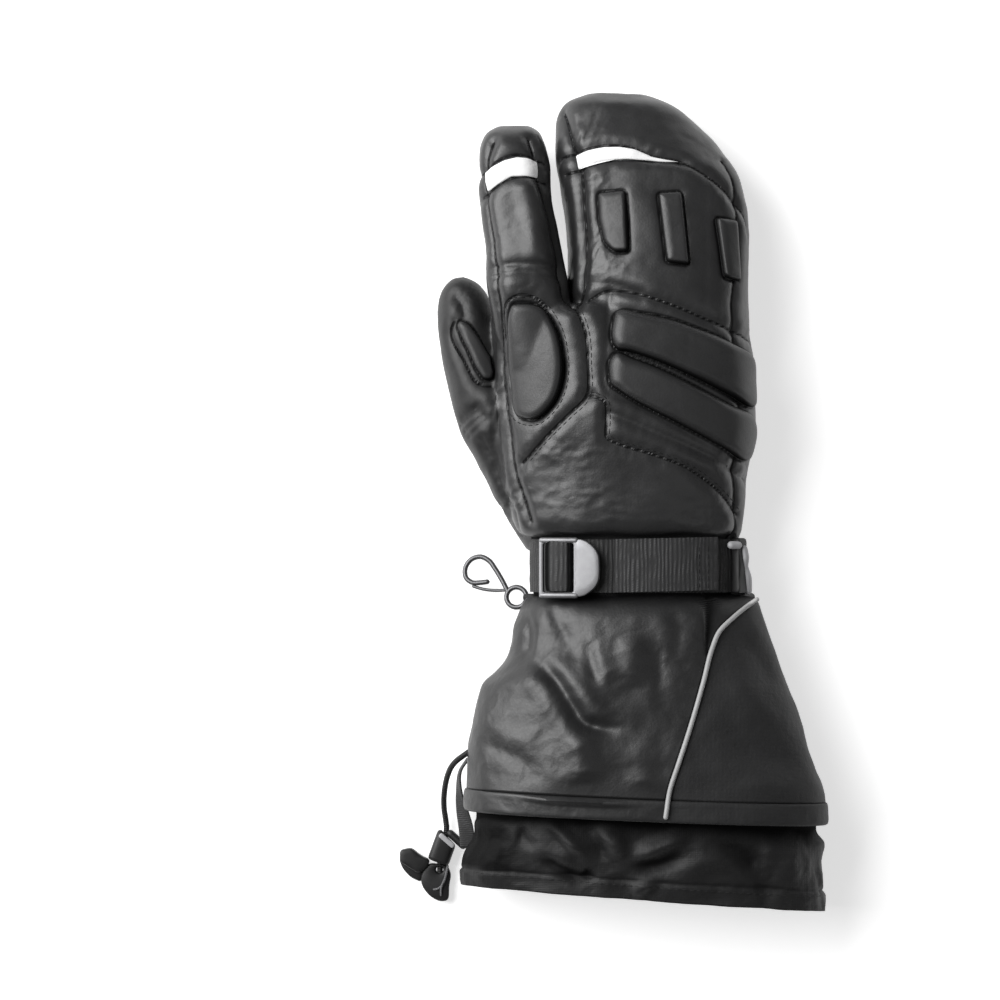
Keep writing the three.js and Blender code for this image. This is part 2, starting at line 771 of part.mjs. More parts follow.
// Snow skirt: thin nylon that starts inside the gauntlet and hangs out of it, with a turned end
const skirtOuter = -gauntlet.wall - gap;
const skirtHemLine = skirtTop - skirt.reach + skirt.hem;
const skirtPart = slab(skirtTop - skirt.reach + 0.3, hemY + skirt.inside, skirtSlant);
add(
  "snow_skirt",
  largest(
    sleeve(skirtOuter)
      .add(sleeve(skirtOuter + skirt.hemProud).intersect(slab(-far, skirtHemLine, skirtSlant)))
      .subtract(sleeve(skirtOuter - skirt.wall))
      .intersect(skirtPart),
  ),
  "nylon",
);

// Round bars and cords through points, as one closed body
function tube(points, radius, steps, sides, closed = false) {
  const curve = new THREE.CatmullRomCurve3(points, closed, "centripetal");
  if (closed) return solid(new THREE.TubeGeometry(curve, steps, radius, sides, true));
  const frames = curve.computeFrenetFrames(steps, false);
  const rings = Array.from({ length: steps + 1 }, (_, i) => {
    const centre = curve.getPointAt(i / steps);
    return Array.from({ length: sides }, (_, k) => {
      const angle = (2 * Math.PI * k) / sides;
      return centre
        .clone()
        .addScaledVector(frames.normals[i], Math.cos(angle) * radius)
        .addScaledVector(frames.binormals[i], -Math.sin(angle) * radius);
    });
  });
  const all = [...rings.flat(), rings[0][0].clone(), rings[0][0].clone()];
  all[all.length - 2] = curve.getPointAt(0);
  all[all.length - 1] = curve.getPointAt(1);
  const faces = [];
  for (let k = 0; k < sides; k++) {
    const next = (k + 1) % sides;
    faces.push(all.length - 2, k, next);
    faces.push(all.length - 1, steps * sides + next, steps * sides + k);
    for (let i = 0; i < steps; i++) {
      const [a, b] = [i * sides + k, i * sides + next];
      faces.push(a, a + sides, b, b, a + sides, b + sides);
    }
  }
  const body = solid(new THREE.BufferGeometry().setFromPoints(all).setIndex(faces));
  return body;
}

// The height of a section's back above a point across it
function backHeight(x, section) {
  const middle = (section.left + section.right) / 2;
  const half = (section.right - section.left) / 2;
  const height = section.bottom + waist * (section.top - section.bottom);
  const u = Math.min(1, Math.abs(x - middle) / half);
  return height + (section.top - height) * (1 - u ** squareness) ** (1 / squareness);
}
function sectionAt(y) {
  const i = THREE.MathUtils.clamp(
    sleeveSections.findIndex((s) => s.y > y),
    1,
    sleeveSections.length - 1,
  );
  const [a, b] = [sleeveSections[i - 1], sleeveSections[i]];
  const t = (y - a.y) / (b.y - a.y);
  return Object.fromEntries(
    Object.keys(a).map((name) => [name, THREE.MathUtils.lerp(a[name], b[name], t)]),
  );
}

// Reflective piping along the seam of the back panel and over the hem
const pipingPoints = pipingLine.slice(1).map(([x, y]) => {
  const z = backHeight(x, sectionAt(y));
  return new THREE.Vector3(x, y, z + gap + 0.2 * piping.diameter);
});
const pipingTube = tube(pipingPoints, piping.diameter / 2, 12, 6);
add("piping", largest(pipingTube.subtract(sleeve(gap)).intersect(cuffPart)), "pipingGrey");

// Wrist strap from the left side seam over the back to the right, and the tail that comes back
const strapPart = slab(strapY - strap.width / 2, strapY + strap.width / 2);
const between = (fromX, toX, fromZ) =>
  prism(
    [
      [fromX, -far],
      [toX, -far],
      [toX, far],
      [fromX, far],
    ],
    fromZ,
    far,
  );
const strapLow = gap;
const tailLow = strapLow + strap.thickness + gap;
add(
  "wrist_strap",
  largest(
    sleeve(strapLow + strap.thickness)
      .subtract(sleeve(strapLow))
      .intersect(strapPart)
      .intersect(between(-far, far, 0.42 * hand.depth)),
  ),
  "webbing",
);
const tailX = 0.231 * hand.width;
const tailY = strapY + 0.5;
const tailTurn = THREE.MathUtils.degToRad(1.2);
add(
  "strap_tail",
  largest(
    sleeve(tailLow + strap.thickness)
      .subtract(sleeve(tailLow))
      .intersect(slab(-strap.width / 2, strap.width / 2, 0, tailTurn).translate(0, tailY, 0))
      .intersect(between(tailX - strap.tailLength, tailX, 0)),
  ),
  "webbing",
);

// Buckle: a frame with a D-shaped lift tab, lying on the strap
function plate(shape, thickness, bevel) {
  const body = new THREE.ExtrudeGeometry(shape, {
    depth: thickness - 2 * bevel,
    bevelEnabled: bevel > 0,
    bevelThickness: bevel,
    bevelSize: bevel,
    bevelOffset: -bevel,
    bevelSegments: 1,
    curveSegments: 2,
    steps: 1,
  });
  body.translate(0, 0, bevel);
  return body;
}
function roundedRectangle(shape, x0, y0, x1, y1, r) {
  shape.moveTo(x0 + r, y0);
  shape.lineTo(x1 - r, y0);
  shape.quadraticCurveTo(x1, y0, x1, y0 + r);
  shape.lineTo(x1, y1 - r);
  shape.quadraticCurveTo(x1, y1, x1 - r, y1);
  shape.lineTo(x0 + r, y1);
  shape.quadraticCurveTo(x0, y1, x0, y1 - r);
  shape.lineTo(x0, y0 + r);
  shape.quadraticCurveTo(x0, y0, x0 + r, y0);
  return shape;
}
const wristSection = across(strapY, wristRow, hand.width, hand.depth);
// A placing that lies on the wrist's back at x, lifted off it, tilted with its slope
function onWrist(x, lift, tilt, y = strapY) {
  const z = backHeight(x, wristSection);
  const angle = THREE.MathUtils.degToRad(tilt);
  return new THREE.Matrix4()
    .makeTranslation(x - Math.sin(angle) * lift, y, z + Math.cos(angle) * lift)
    .multiply(new THREE.Matrix4().makeRotationY(-angle));
}
const buckleShape = new THREE.Shape();
const [half, tall] = [buckle.frame / 2, buckle.height / 2];
buckleShape.moveTo(-half + 2, -tall);
buckleShape.lineTo(half - 1, -tall);
buckleShape.lineTo(half, -tall + 4);
buckleShape.lineTo(half + 1.5, -tall + 5);
buckleShape.quadraticCurveTo(half + buckle.tab, -tall + 8, half + buckle.tab, 0);
buckleShape.quadraticCurveTo(half + buckle.tab, tall - 8, half + 1.5, tall - 5);
buckleShape.lineTo(half, tall - 4);
buckleShape.lineTo(half - 1, tall);
buckleShape.lineTo(-half + 2, tall);
buckleShape.quadraticCurveTo(-half, tall, -half, tall - 2);
buckleShape.lineTo(-half, -tall + 2);
buckleShape.quadraticCurveTo(-half, -tall, -half + 2, -tall);
buckleShape.holes.push(
  roundedRectangle(
    new THREE.Path(),
    -half + 2.4,
    -tall + buckle.rail,
    half - 2.2,
    tall - buckle.rail,
    1,
  ),
);
const buckleTilt = 17;
const buckleX = -0.335 * hand.width;
const buckleLift = 2 * (strap.thickness + gap) + gap;
const bucklePlate = plate(buckleShape, buckle.thickness, 0.6);
bucklePlate.applyMatrix4(onWrist(buckleX, buckleLift, buckleTilt));
const strapStack = sleeve(tailLow + strap.thickness + gap);
add("buckle", largest(solid(bucklePlate).subtract(strapStack)), "buckleMetal");

// The webbing turned round the buckle's inner bar
const rollGeometry = new THREE.CylinderGeometry(1, 1, strap.width - 1.4, 14, 1);
rollGeometry.scale((buckle.frame - 2.4 - 2.2) / 2 - gap, 1, 3.4);
rollGeometry.applyMatrix4(onWrist(buckleX, buckleLift + 0.8, buckleTilt));
add(
  "strap_roll",
  largest(solid(rollGeometry).subtract(sleeve(strapLow + strap.thickness + gap))),
  "webbing",
);

// A second, smaller frame at the right end of the strap
const sideShape = new THREE.Shape();
const [sideHalf, sideTall] = [sideBuckle.width / 2, sideBuckle.height / 2];
sideShape.moveTo(-sideHalf + 1.5, -sideTall);
sideShape.lineTo(sideHalf - 1, -sideTall);
sideShape.lineTo(sideHalf, -sideTall + 4);
sideShape.lineTo(sideHalf + sideBuckle.tabReach, -sideTall + 9);
sideShape.lineTo(sideHalf + sideBuckle.tabReach, sideTall - 9);
sideShape.lineTo(sideHalf, sideTall - 4);
sideShape.lineTo(sideHalf - 1, sideTall);
sideShape.lineTo(-sideHalf + 1.5, sideTall);
sideShape.quadraticCurveTo(-sideHalf, sideTall, -sideHalf, sideTall - 1.5);
sideShape.lineTo(-sideHalf, -sideTall + 1.5);
sideShape.quadraticCurveTo(-sideHalf, -sideTall, -sideHalf + 1.5, -sideTall);
const slot = [-sideTall + 2.6, sideTall - 2.6];
sideShape.holes.push(
  roundedRectangle(new THREE.Path(), -sideHalf + 2.2, slot[0], -0.9, slot[1], 0.6),
  roundedRectangle(new THREE.Path(), 0.9, slot[0], sideHalf - 1.6, slot[1], 0.6),
);
const sidePlate = plate(sideShape, sideBuckle.thickness, 0.5);
sidePlate.applyMatrix4(onWrist(0.322 * hand.width, tailLow - 0.2, -66));
add(
  "side_buckle",
  largest(solid(sidePlate).subtract(sleeve(tailLow))),
  "plastic",
);

// Bent wire clip that hangs from a webbing loop at the left side of the wrist
const clipAt = new THREE.Vector3(-0.37 * gauntlet.width, gauntletY - 1.6, 13);
const clipRows = [
  // along and aside are shares of the clip's length, from the eye towards the bend
  { along: 0.13, aside: 0.03 },
  { along: 0.34, aside: 0.14 },
  { along: 0.56, aside: 0.2 },
  { along: 0.76, aside: 0.17 },
  { along: 0.87, aside: 0.02 },
  { along: 0.8, aside: -0.15 },
  { along: 0.62, aside: -0.19 },
  { along: 0.5, aside: -0.14 },
];
const clipTurn = THREE.MathUtils.degToRad(147);
const clipDroop = THREE.MathUtils.degToRad(17);
const clipPoint = (along, aside, rise = 0) => {
  const flat = along * Math.cos(clipDroop) + rise * Math.sin(clipDroop);
  return new THREE.Vector3(
    clipAt.x + flat * Math.cos(clipTurn) + aside * Math.sin(clipTurn),
    clipAt.y + flat * Math.sin(clipTurn) - aside * Math.cos(clipTurn),
    clipAt.z - along * Math.sin(clipDroop) + rise * Math.cos(clipDroop),
  );
};
const clipWire = tube(
  clipRows.map((r) => clipPoint(r.along * hook.length, r.aside * hook.length)),
  hook.wire / 2,
  14,
  5,
);
const clipGate = tube(
  [
    clipPoint(0.1 * hook.length, -0.04 * hook.length),
    clipPoint(0.3 * hook.length, -0.09 * hook.length),
    clipPoint(0.55 * hook.length, -0.1 * hook.length),
    clipPoint(0.74 * hook.length, -0.05 * hook.length),
  ],
  hook.wire * 0.36,
  6,
  5,
);
const eyeRadius = hook.eye / 2;
const clipEye = tube(
  Array.from({ length: 10 }, (_, k) => {
    const angle = (2 * Math.PI * k) / 10;
    return clipPoint(eyeRadius * Math.cos(angle) * 0.95, eyeRadius * Math.sin(angle));
  }),
  hook.wire / 2,
  10,
  5,
  true,
);
add("clip", join(clipWire, clipEye, clipGate), "buckleMetal");
const loopCentre = new THREE.Vector3(clipAt.x + 4.3, clipAt.y, clipAt.z + 0.4);
const loopPoints = Array.from({ length: 12 }, (_, k) => {
  const angle = (2 * Math.PI * k) / 12;
  return new THREE.Vector3(
    loopCentre.x + 6.6 * Math.cos(angle),
    loopCentre.y,
    loopCentre.z + 4.6 * Math.sin(angle),
  );
});
const loopRing = tube(loopPoints, 0.75, 12, 5, true);
add(
  "clip_loop",
  largest(loopRing.subtract(handBody(gap)).subtract(sleeve(gap))),
  "webbing",
);

// Drawcord out of the gauntlet's left side, through the lock and into the pull at its end.
// A webbing tab sewn into the same seam holds the lock.
const cordExit = new THREE.Vector3(-0.504 * gauntlet.width, gauntletY - 0.785 * gauntlet.length, 29);
const cordRows = [
  // steps from the exit
  { x: 0, y: 0, z: 0 },
  { x: -2.6, y: -1.9, z: -1 },
  { x: -5.2, y: -3.9, z: -2.4 },
  { x: -7.5, y: -6.6, z: -5 },
  { x: -9.2, y: -10.2, z: -9.2 },
  { x: -10.4, y: -14.6, z: -13.6 },
  { x: -11.1, y: -19.1, z: -17.6 },
  { x: -11.4, y: -23.6, z: -20.8 },
  { x: -11.2, y: -28, z: -23 },
  { x: -10.6, y: -32.2, z: -24.3 },
  { x: -10.2, y: -36.2, z: -24.9 },
  { x: -10.6, y: -40, z: -25 },
  { x: -11.7, y: -43.6, z: -25 },
  { x: -12.7, y: -47.2, z: -25 },
  { x: -13.2, y: -51, z: -25.1 },
  { x: -13.2, y: -54.8, z: -25.4 },
  { x: -13.4, y: -58.6, z: -25.6 },
  { x: -14, y: -62.5, z: -25.7 },
];
const cordPoints = cordRows.map((r) => new THREE.Vector3(r.x, r.y, r.z).add(cordExit));
const cordTube = tube(cordPoints, drawCord.diameter / 2, 32, 6);
add("draw_cord", largest(cordTube.subtract(sleeve(gap))), "webbing");
const clearOfCord = tube(cordPoints, drawCord.diameter / 2 + gap, 32, 6);

const lockAt = cordExit.clone().add(new THREE.Vector3(-11.5, -43.3, cordLock.height / 2 - 29));
const lockTurn = THREE.MathUtils.degToRad(20);
const lockBarrel = new THREE.CylinderGeometry(1, 1, cordLock.length, 12, 1);
lockBarrel.scale(cordLock.width / 2, 1, cordLock.height / 2);
lockBarrel.rotateZ(-lockTurn).translate(lockAt.x, lockAt.y, lockAt.z);
const lockBody = solid(lockBarrel);
add("cord_lock", largest(lockBody.subtract(clearOfCord)), "plastic");

const hubAt = cordExit.clone().add(new THREE.Vector3(-14.8, -61.2, 0));
const hubBody = new THREE.CylinderGeometry(toggle.hub / 2, toggle.hub / 2, toggle.height, 12, 1);
hubBody.rotateX(Math.PI / 2).scale(1, 1.2, 1);
hubBody.translate(hubAt.x, hubAt.y, toggle.height / 2);
const tabBody = plate(
  roundedRectangle(
    new THREE.Shape(),
    -toggle.tabLength,
    -toggle.tabWidth / 2,
    2,
    toggle.tabWidth / 2,
    2,
  ),
  toggle.height * 0.62,
  0.6,
);
tabBody.rotateZ(THREE.MathUtils.degToRad(-38));
tabBody.translate(hubAt.x - 2.5, hubAt.y + 2.5, 0.6);
add("cord_pull", largest(join(solid(hubBody), solid(tabBody)).subtract(clearOfCord)), "plastic");

// The lock's webbing tab, turned from standing on edge at the seam to flat at the lock
const tabRows = [
  { x: 0, y: -3, z: -4, turn: 80 },
  { x: -3.6, y: -11, z: -10, turn: 70 },
  { x: -4.9, y: -22, z: -18, turn: 45 },
  { x: -4.2, y: -32, z: -22.5, turn: 15 },
  { x: -3.4, y: -40, z: -24.8, turn: 0 },
];
function ribbon(rows, width, thickness) {
  const rings = smoothRows(rows, 1).map((r) => {
    const centre = new THREE.Vector3(r.x, r.y, r.z).add(cordExit);
    const turn = THREE.MathUtils.degToRad(r.turn);
    const wide = new THREE.Vector3(Math.cos(turn), 0, Math.sin(turn)).multiplyScalar(width / 2);
    const thick = new THREE.Vector3(-Math.sin(turn), 0, Math.cos(turn));
    thick.multiplyScalar(thickness / 2);
    const corner = (a, b) => centre.clone().addScaledVector(wide, a).addScaledVector(thick, b);
    return [corner(-1, -1), corner(-1, 1), corner(1, 1), corner(1, -1)];
  });
  const last = rings.length - 1;
  const faces = [0, 1, 2, 0, 2, 3];
  for (let k = 0; k < 4; k++) {
    const next = (k + 1) % 4;
    for (let i = 0; i < last; i++) {
      const [a, b] = [4 * i + k, 4 * i + next];
      faces.push(a, a + 4, b, b, a + 4, b + 4);
    }
  }
  faces.push(4 * last, 4 * last + 2, 4 * last + 1, 4 * last, 4 * last + 3, 4 * last + 2);
  const geometry = new THREE.BufferGeometry().setFromPoints(rings.flat()).setIndex(faces);
  return solid(geometry);
}
const lockClear = new THREE.CylinderGeometry(1, 1, cordLock.length + 2 * gap, 12, 1);
lockClear.scale(cordLock.width / 2 + gap, 1, cordLock.height / 2 + gap);
lockClear.rotateZ(-lockTurn).translate(lockAt.x, lockAt.y, lockAt.z);
add(
  "cord_tab",
  largest(
    ribbon(tabRows, cordTab.width, cordTab.thickness)
      .subtract(sleeve(gauntlet.hemProud + gap))
      .subtract(solid(lockClear))
      .subtract(clearOfCord),
  ),
  "webbing",
);

export default group;
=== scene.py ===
"""A black three-finger winter mitt for the right hand, lying on its palm and seen from above."""

import logging
import math
from dataclasses import dataclass, field
from enum import Enum
from typing import Any, Callable, Iterable, Sequence

import bpy
import numpy as np
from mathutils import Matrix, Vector
from mathutils.bvhtree import BVHTree


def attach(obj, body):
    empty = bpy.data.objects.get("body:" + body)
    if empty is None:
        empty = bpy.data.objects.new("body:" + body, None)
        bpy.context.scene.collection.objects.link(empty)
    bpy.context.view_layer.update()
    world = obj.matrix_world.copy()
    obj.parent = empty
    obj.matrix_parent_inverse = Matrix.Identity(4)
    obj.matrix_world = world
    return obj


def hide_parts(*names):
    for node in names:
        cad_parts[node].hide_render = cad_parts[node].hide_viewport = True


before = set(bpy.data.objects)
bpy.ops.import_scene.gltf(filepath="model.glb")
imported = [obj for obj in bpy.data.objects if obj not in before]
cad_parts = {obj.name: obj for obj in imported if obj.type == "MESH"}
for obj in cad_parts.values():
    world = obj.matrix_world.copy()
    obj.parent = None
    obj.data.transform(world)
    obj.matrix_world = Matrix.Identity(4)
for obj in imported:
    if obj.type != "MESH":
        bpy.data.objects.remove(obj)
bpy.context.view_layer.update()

log = logging.getLogger("mitt")
MM = 0.001
BODY = "root"
Array = np.ndarray

# Driving sizes of the mitt, in millimetres
HAND_WIDTH, HAND_LENGTH, HAND_DEPTH = 118.0, 104.6, 57.0
LOBE_WIDTH, LOBE_LENGTH, LOBE_DEPTH = 87.5, 97.6, 54.0
INDEX_WIDTH, INDEX_LENGTH, INDEX_DEPTH = 34.0, 82.6, 31.0
THUMB_LENGTH, THUMB_WIDTH, THUMB_DEPTH = 125.0, 32.0, 32.0
CUFF_WIDTH, CUFF_LENGTH, CUFF_DEPTH, CUFF_WALL = 164.0, 91.4, 64.0, 2.4
HEM_LENGTH, HEM_PROUD = 10.0, 1.0
SKIRT_REACH, SKIRT_HEM, SKIRT_INSIDE = 37.0, 9.0, 22.0
STRAP_WIDTH, STRAP_THICKNESS, STRAP_TAIL = 24.0, 1.8, 45.0
STRAP_CLEARANCE = 1.2
PIPING_DIAMETER = 2.6
CORD_DIAMETER = 2.6
GAP = 0.3
REST = 1.5
PALM_CENTRE = 0.4933
WAIST = 0.45
FLAP_X, FLAP_RAMP = 24.9, 1.8
BUCKLE_X, BUCKLE_TILT = -39.9, 17.0
TAB_HALF = 3.5
OFF_SEAM = 9.0  # the seam mark of places away from every seam, which get no painted shade
SQUARENESS = 2.35
HEM_SLANT, SKIRT_SLANT = -0.04, -0.072

CROTCH_Y = PALM_CENTRE * HAND_LENGTH
WRIST_Y = CROTCH_Y - HAND_LENGTH
CUFF_Y = WRIST_Y - STRAP_WIDTH - 2 * STRAP_CLEARANCE
STRAP_Y = (WRIST_Y + CUFF_Y) / 2
HEM_Y = CUFF_Y - CUFF_LENGTH
SKIRT_TOP = HEM_Y - HEM_LENGTH - GAP
SKIRT_END = SKIRT_TOP - SKIRT_REACH
SKIRT_REST = -(CUFF_WALL + GAP - 0.8)
SIDE_SEAM_Z = 0.42 * CUFF_DEPTH
BUCKLE_LIFT = 2 * (STRAP_THICKNESS + GAP) + GAP


class Noise:
    """Seeded smooth noise on points, about -1 to 1."""

    def __init__(self, seed: int) -> None:
        """Draw the lattice directions.

        Args:
            seed: picks one fixed pattern.
        """
        draw = np.random.default_rng(seed)
        self.order = np.tile(draw.permutation(256), 2)
        ways = draw.normal(size=(256, 3))
        self.ways = unit(ways)

    def __call__(self, points: Array) -> Array:
        """Return one value for each point.

        Args:
            points: n by 3, in cells of the noise.

        Returns:
            n values.
        """
        base = np.floor(points).astype(int)
        rest = points - base
        ease = rest * rest * rest * (rest * (rest * 6 - 15) + 10)
        total = np.zeros(len(points))
        for corner in range(8):
            step = np.array([corner & 1, corner >> 1 & 1, corner >> 2 & 1])
            cell = (base + step) & 255
            pick = self.order[self.order[self.order[cell[:, 0]] + cell[:, 1]] + cell[:, 2]]
            share = np.prod(np.where(step, ease, 1 - ease), axis=1)
            total += share * np.einsum("ij,ij->i", self.ways[pick], rest - step)
        return total * 1.6

    def layered(self, points: Array, octaves: int, gain: float = 0.5) -> Array:
        """Sum of octaves, each at half the pitch and gain times the height.

        Args:
            points: n by 3, in cells of the first octave.
            octaves: how many.
            gain: height of an octave against the one before.

        Returns:
            n values.
        """
        return sum(gain**k * self(points * 2**k + 17.3 * k) for k in range(octaves))

    def creased(self, points: Array, octaves: int, gain: float = 0.5) -> Array:
        """Like layered, but with sharp valleys, as in creased leather; 0 to about 1."""
        return sum(gain**k * np.abs(self(points * 2**k + 9.1 * k)) for k in range(octaves))


def spline(knots: Array, values: Array, at: Array, calm: bool = False) -> Array:
    """Smooth curve through a table's columns.

    Args:
        knots: rising positions of the rows.
        values: a value or vector for each row.
        at: positions asked for.
        calm: whether the curve never swings past the rows' own values.

    Returns:
        the value or vector at each position.
    """
    knots, values, at = np.asarray(knots, float), np.asarray(values, float), np.asarray(at, float)
    slopes = np.gradient(values, knots, axis=0)
    if calm:
        steps = np.diff(values, axis=0) / np.diff(knots)[:, None]
        a, b = steps[:-1], steps[1:]
        slopes[1:-1] = np.where(a * b > 0, 2 * a * b / np.where(a * b > 0, a + b, 1), 0)
    i = np.clip(np.searchsorted(knots, at) - 1, 0, len(knots) - 2)
    span = knots[i + 1] - knots[i]
    t = np.clip((at - knots[i]) / span, 0, 1)
    if values.ndim > 1:
        t, span = t[:, None], span[:, None]
    a, b, ma, mb = values[i], values[i + 1], slopes[i] * span, slopes[i + 1] * span
    return (
        (2 * t**3 - 3 * t**2 + 1) * a
        + (t**3 - 2 * t**2 + t) * ma
        + (-2 * t**3 + 3 * t**2) * b
        + (t**3 - t**2) * mb
    )


def run_of(line: Array) -> Array:
    """How far along a line each of its points lies."""
    return np.concatenate([[0], np.cumsum(np.linalg.norm(np.diff(line, axis=0), axis=1))])


def length_of(line: Array) -> float:
    """Length of a line."""
    return float(np.linalg.norm(np.diff(line, axis=0), axis=1).sum())


def unit(vectors: Array) -> Array:
    """Vectors drawn to a length of 1."""
    return vectors / np.linalg.norm(vectors, axis=1, keepdims=True)


def round_turns(count: int) -> Array:
    """Even turns round a circle, in radians."""
    return np.linspace(0, 2 * np.pi, count, endpoint=False)


def bent(values: Array, power: float) -> Array:
    """Values raised to a power, with their signs kept."""
    return np.sign(values) * np.abs(values) ** power


def even_line(line: Array, step: float) -> Array:
    """Points at an even step along a line."""
    run = run_of(line)
    even = np.linspace(0, run[-1], max(2, int(round(run[-1] / step)) + 1))
    return np.stack([np.interp(even, run, line[:, k]) for k in range(line.shape[1])], axis=1)


def smooth_line(points: Sequence[Sequence[float]], step: float, closed: bool = False) -> Array:
    """Even points along a smooth curve through the given ones.

    Args:
        points: the curve's own points.
        step: distance between the even points.
        closed: whether the curve comes back to its start.

    Returns:
        the even points.
    """
    line = np.asarray(points, float)
    if closed:
        line = np.concatenate([line[-2:], line, line[:3]])
    run = run_of(line)
    first, last = (run[2], run[-3]) if closed else (0, run[-1])
    return even_line(spline(run, line, np.linspace(first, last, 30 * len(line))), step)


def distance_along(points: Array, line: Array, reach: float,
                   units: Array | None = None) -> tuple[Array, Array]:
    """Distance of points to a line, and how far along it they lie.

    Args:
        points: n by 2 or 3.
        line: the line's points, with as many columns.
        reach: points further off than this are given this distance.
        units: a length for each of the line's steps, in which distances to it count.

    Returns:
        the distances, and the arc lengths of the nearest places.
    """
    far, run = np.full(len(points), float(reach)), np.zeros(len(points))
    near = np.all((points > line.min(0) - reach) & (points < line.max(0) + reach), axis=1)
    some = points[near]
    best, where = np.full(len(some), float(reach * reach)), np.zeros(len(some))
    start = 0.0
    units = np.ones(len(line) - 1) if units is None else units
    for a, b, unit in zip(line[:-1], line[1:], units):
        way = b - a
        size = float(way @ way) or 1e-9
        t = np.clip((some - a) @ way / size, 0, 1)
        gap = some - a - t[:, None] * way
        square = np.einsum("ij,ij->i", gap, gap) / (unit * unit)
        nearer = square < best
        best[nearer] = square[nearer]
        where[nearer] = start + t[nearer] * math.sqrt(size)
        start += math.sqrt(size)
    far[near], run[near] = np.sqrt(best), where
    return far, run


def grid_faces(rows: int, columns: int, around: bool = False, closed: bool = False) -> Array:
    """Quads of a grid whose points are listed row by row.

    Args:
        rows: number of rows.
        columns: points in a row.
        around: whether each row closes on itself.
        closed: whether the last row joins the first.

    Returns:
        faces, four corners each.
    """
    span = (np.arange(rows - (not closed)), np.arange(columns - (not around)))
    i, j = np.meshgrid(*span, indexing="ij")
    k, m = (j + 1) % columns, (i + 1) % rows
    quads = [i * columns + j, i * columns + k, m * columns + k, m * columns + j]
    return np.stack(quads, axis=-1).reshape(-1, 4)


@dataclass
class Form:
    """A mesh in the making: points in millimetres, quads, and one value a point for shading."""

    points: Array
    faces: Array
    marks: dict[str, Array] = field(default_factory=dict)
    kept: Array | None = None  # normals kept from a larger form that this one was cut from

    def normals(self) -> Array:
        """Outward unit normals of the points."""
        if self.kept is not None:
            return self.kept
        a, b, c, d = (self.points[self.faces[:, k]] for k in range(4))
        face = np.cross(c - a, d - b)
        total = np.zeros_like(self.points)
        for k in range(4):
            for axis in range(3):
                total[:, axis] += np.bincount(self.faces[:, k], face[:, axis], len(self.points))
        return total / np.maximum(np.linalg.norm(total, axis=1, keepdims=True), 1e-12)

    def edges(self) -> Array:
        """Every edge, once for each face that it bounds."""
        return np.concatenate([self.faces[:, [k, (k + 1) % 4]] for k in range(4)])

    def averaged(self, values: Array, rounds: int) -> Array:
        """Values of the points, drawn half way to the mean of their neighbours in each round."""
        a, b = np.concatenate([self.edges(), self.edges()[:, ::-1]]).T
        count = np.maximum(np.bincount(a, minlength=len(self.points)), 1)[:, None]
        for _ in range(rounds):
            near = [np.bincount(a, values[b, k], len(values)) for k in range(values.shape[1])]
            values = values + 0.5 * (np.stack(near, axis=1) / count - values)
        return values

    def smoothed(self, rounds: int) -> "Form":
        """Move the points towards the middle of their neighbours."""
        self.points = self.averaged(self.points, rounds)
        return self

    def pushed(self, heights: Array) -> "Form":
        """Move each point out along its normal by its height."""
        self.points = self.points + self.normals() * np.reshape(heights, (-1, 1))
        return self

    def part(self, chosen: Array) -> "Form":
        """The faces marked True, with their points and the whole form's normals."""
        faces = self.faces[chosen]
        used, place = np.unique(faces, return_inverse=True)
        marks = {name: value[used] for name, value in self.marks.items()}
        return Form(self.points[used], place.reshape(faces.shape), marks, self.normals()[used])

    def backed(self, inner: Array) -> "Form":
        """Close this open surface with an inner one that has the same faces.

        Args:
            inner: the inner surface's points.

        Returns:
            the closed form.
        """
        size = len(self.points)
        pairs = self.edges()
        code = np.sort(pairs, axis=1) @ np.array([size, 1])
        _, first, count = np.unique(code, return_index=True, return_counts=True)
        rim = pairs[first[count == 1]]
        sides = np.stack([rim[:, 1], rim[:, 0], rim[:, 0] + size, rim[:, 1] + size], axis=1)
        faces = np.concatenate([self.faces, self.faces[:, ::-1] + size, sides])
        marks = {name: np.concatenate([value, value]) for name, value in self.marks.items()}
        kept = None if self.kept is None else np.concatenate([self.kept, -self.kept])
        return Form(np.concatenate([self.points, inner]), faces, marks, kept)

    def walled(self, thickness: float) -> "Form":
        """A closed wall between this open surface and one moved inwards by the thickness."""
        return self.backed(self.points - self.normals() * thickness)

    def outward(self) -> "Form":
        """Turn the faces of a closed form outwards."""
        a, b, c, d = (self.points[self.faces[:, k]] for k in range(4))
        volume = np.einsum("ij,ij->i", a + c, np.cross(b - a, d - a) + np.cross(d - c, b - c)).sum()
        if volume < 0:
            self.faces = self.faces[:, ::-1]
        return self

    def made(self, name: str, finish: bpy.types.Material, sharp: float = 0.0) -> bpy.types.Object:
        """Turn the form into an object of the scene, in metres.

        Args:
            name: the piece's name.
            finish: its material.
            sharp: edges that bend by more than this many degrees look sharp; 0 for none.

        Returns:
            the new object.
        """
        mesh = bpy.data.meshes.new(name)
        mesh.from_pydata((self.points * MM).tolist(), [], self.faces.tolist())
        for mark, values in self.marks.items():
            layer = mesh.attributes.new(mark, "FLOAT", "POINT")
            layer.data.foreach_set("value", np.asarray(values, np.float32))
        mesh.polygons.foreach_set("use_smooth", np.ones(len(mesh.polygons), bool))
        if sharp:
            mesh.set_sharp_from_angle(angle=math.radians(sharp))
        if self.kept is not None:
            mesh.normals_split_custom_set_from_vertices(self.kept.tolist())
        mesh.materials.append(finish)
        piece = bpy.data.objects.new(name, mesh)
        bpy.context.scene.collection.objects.link(piece)
        return piece


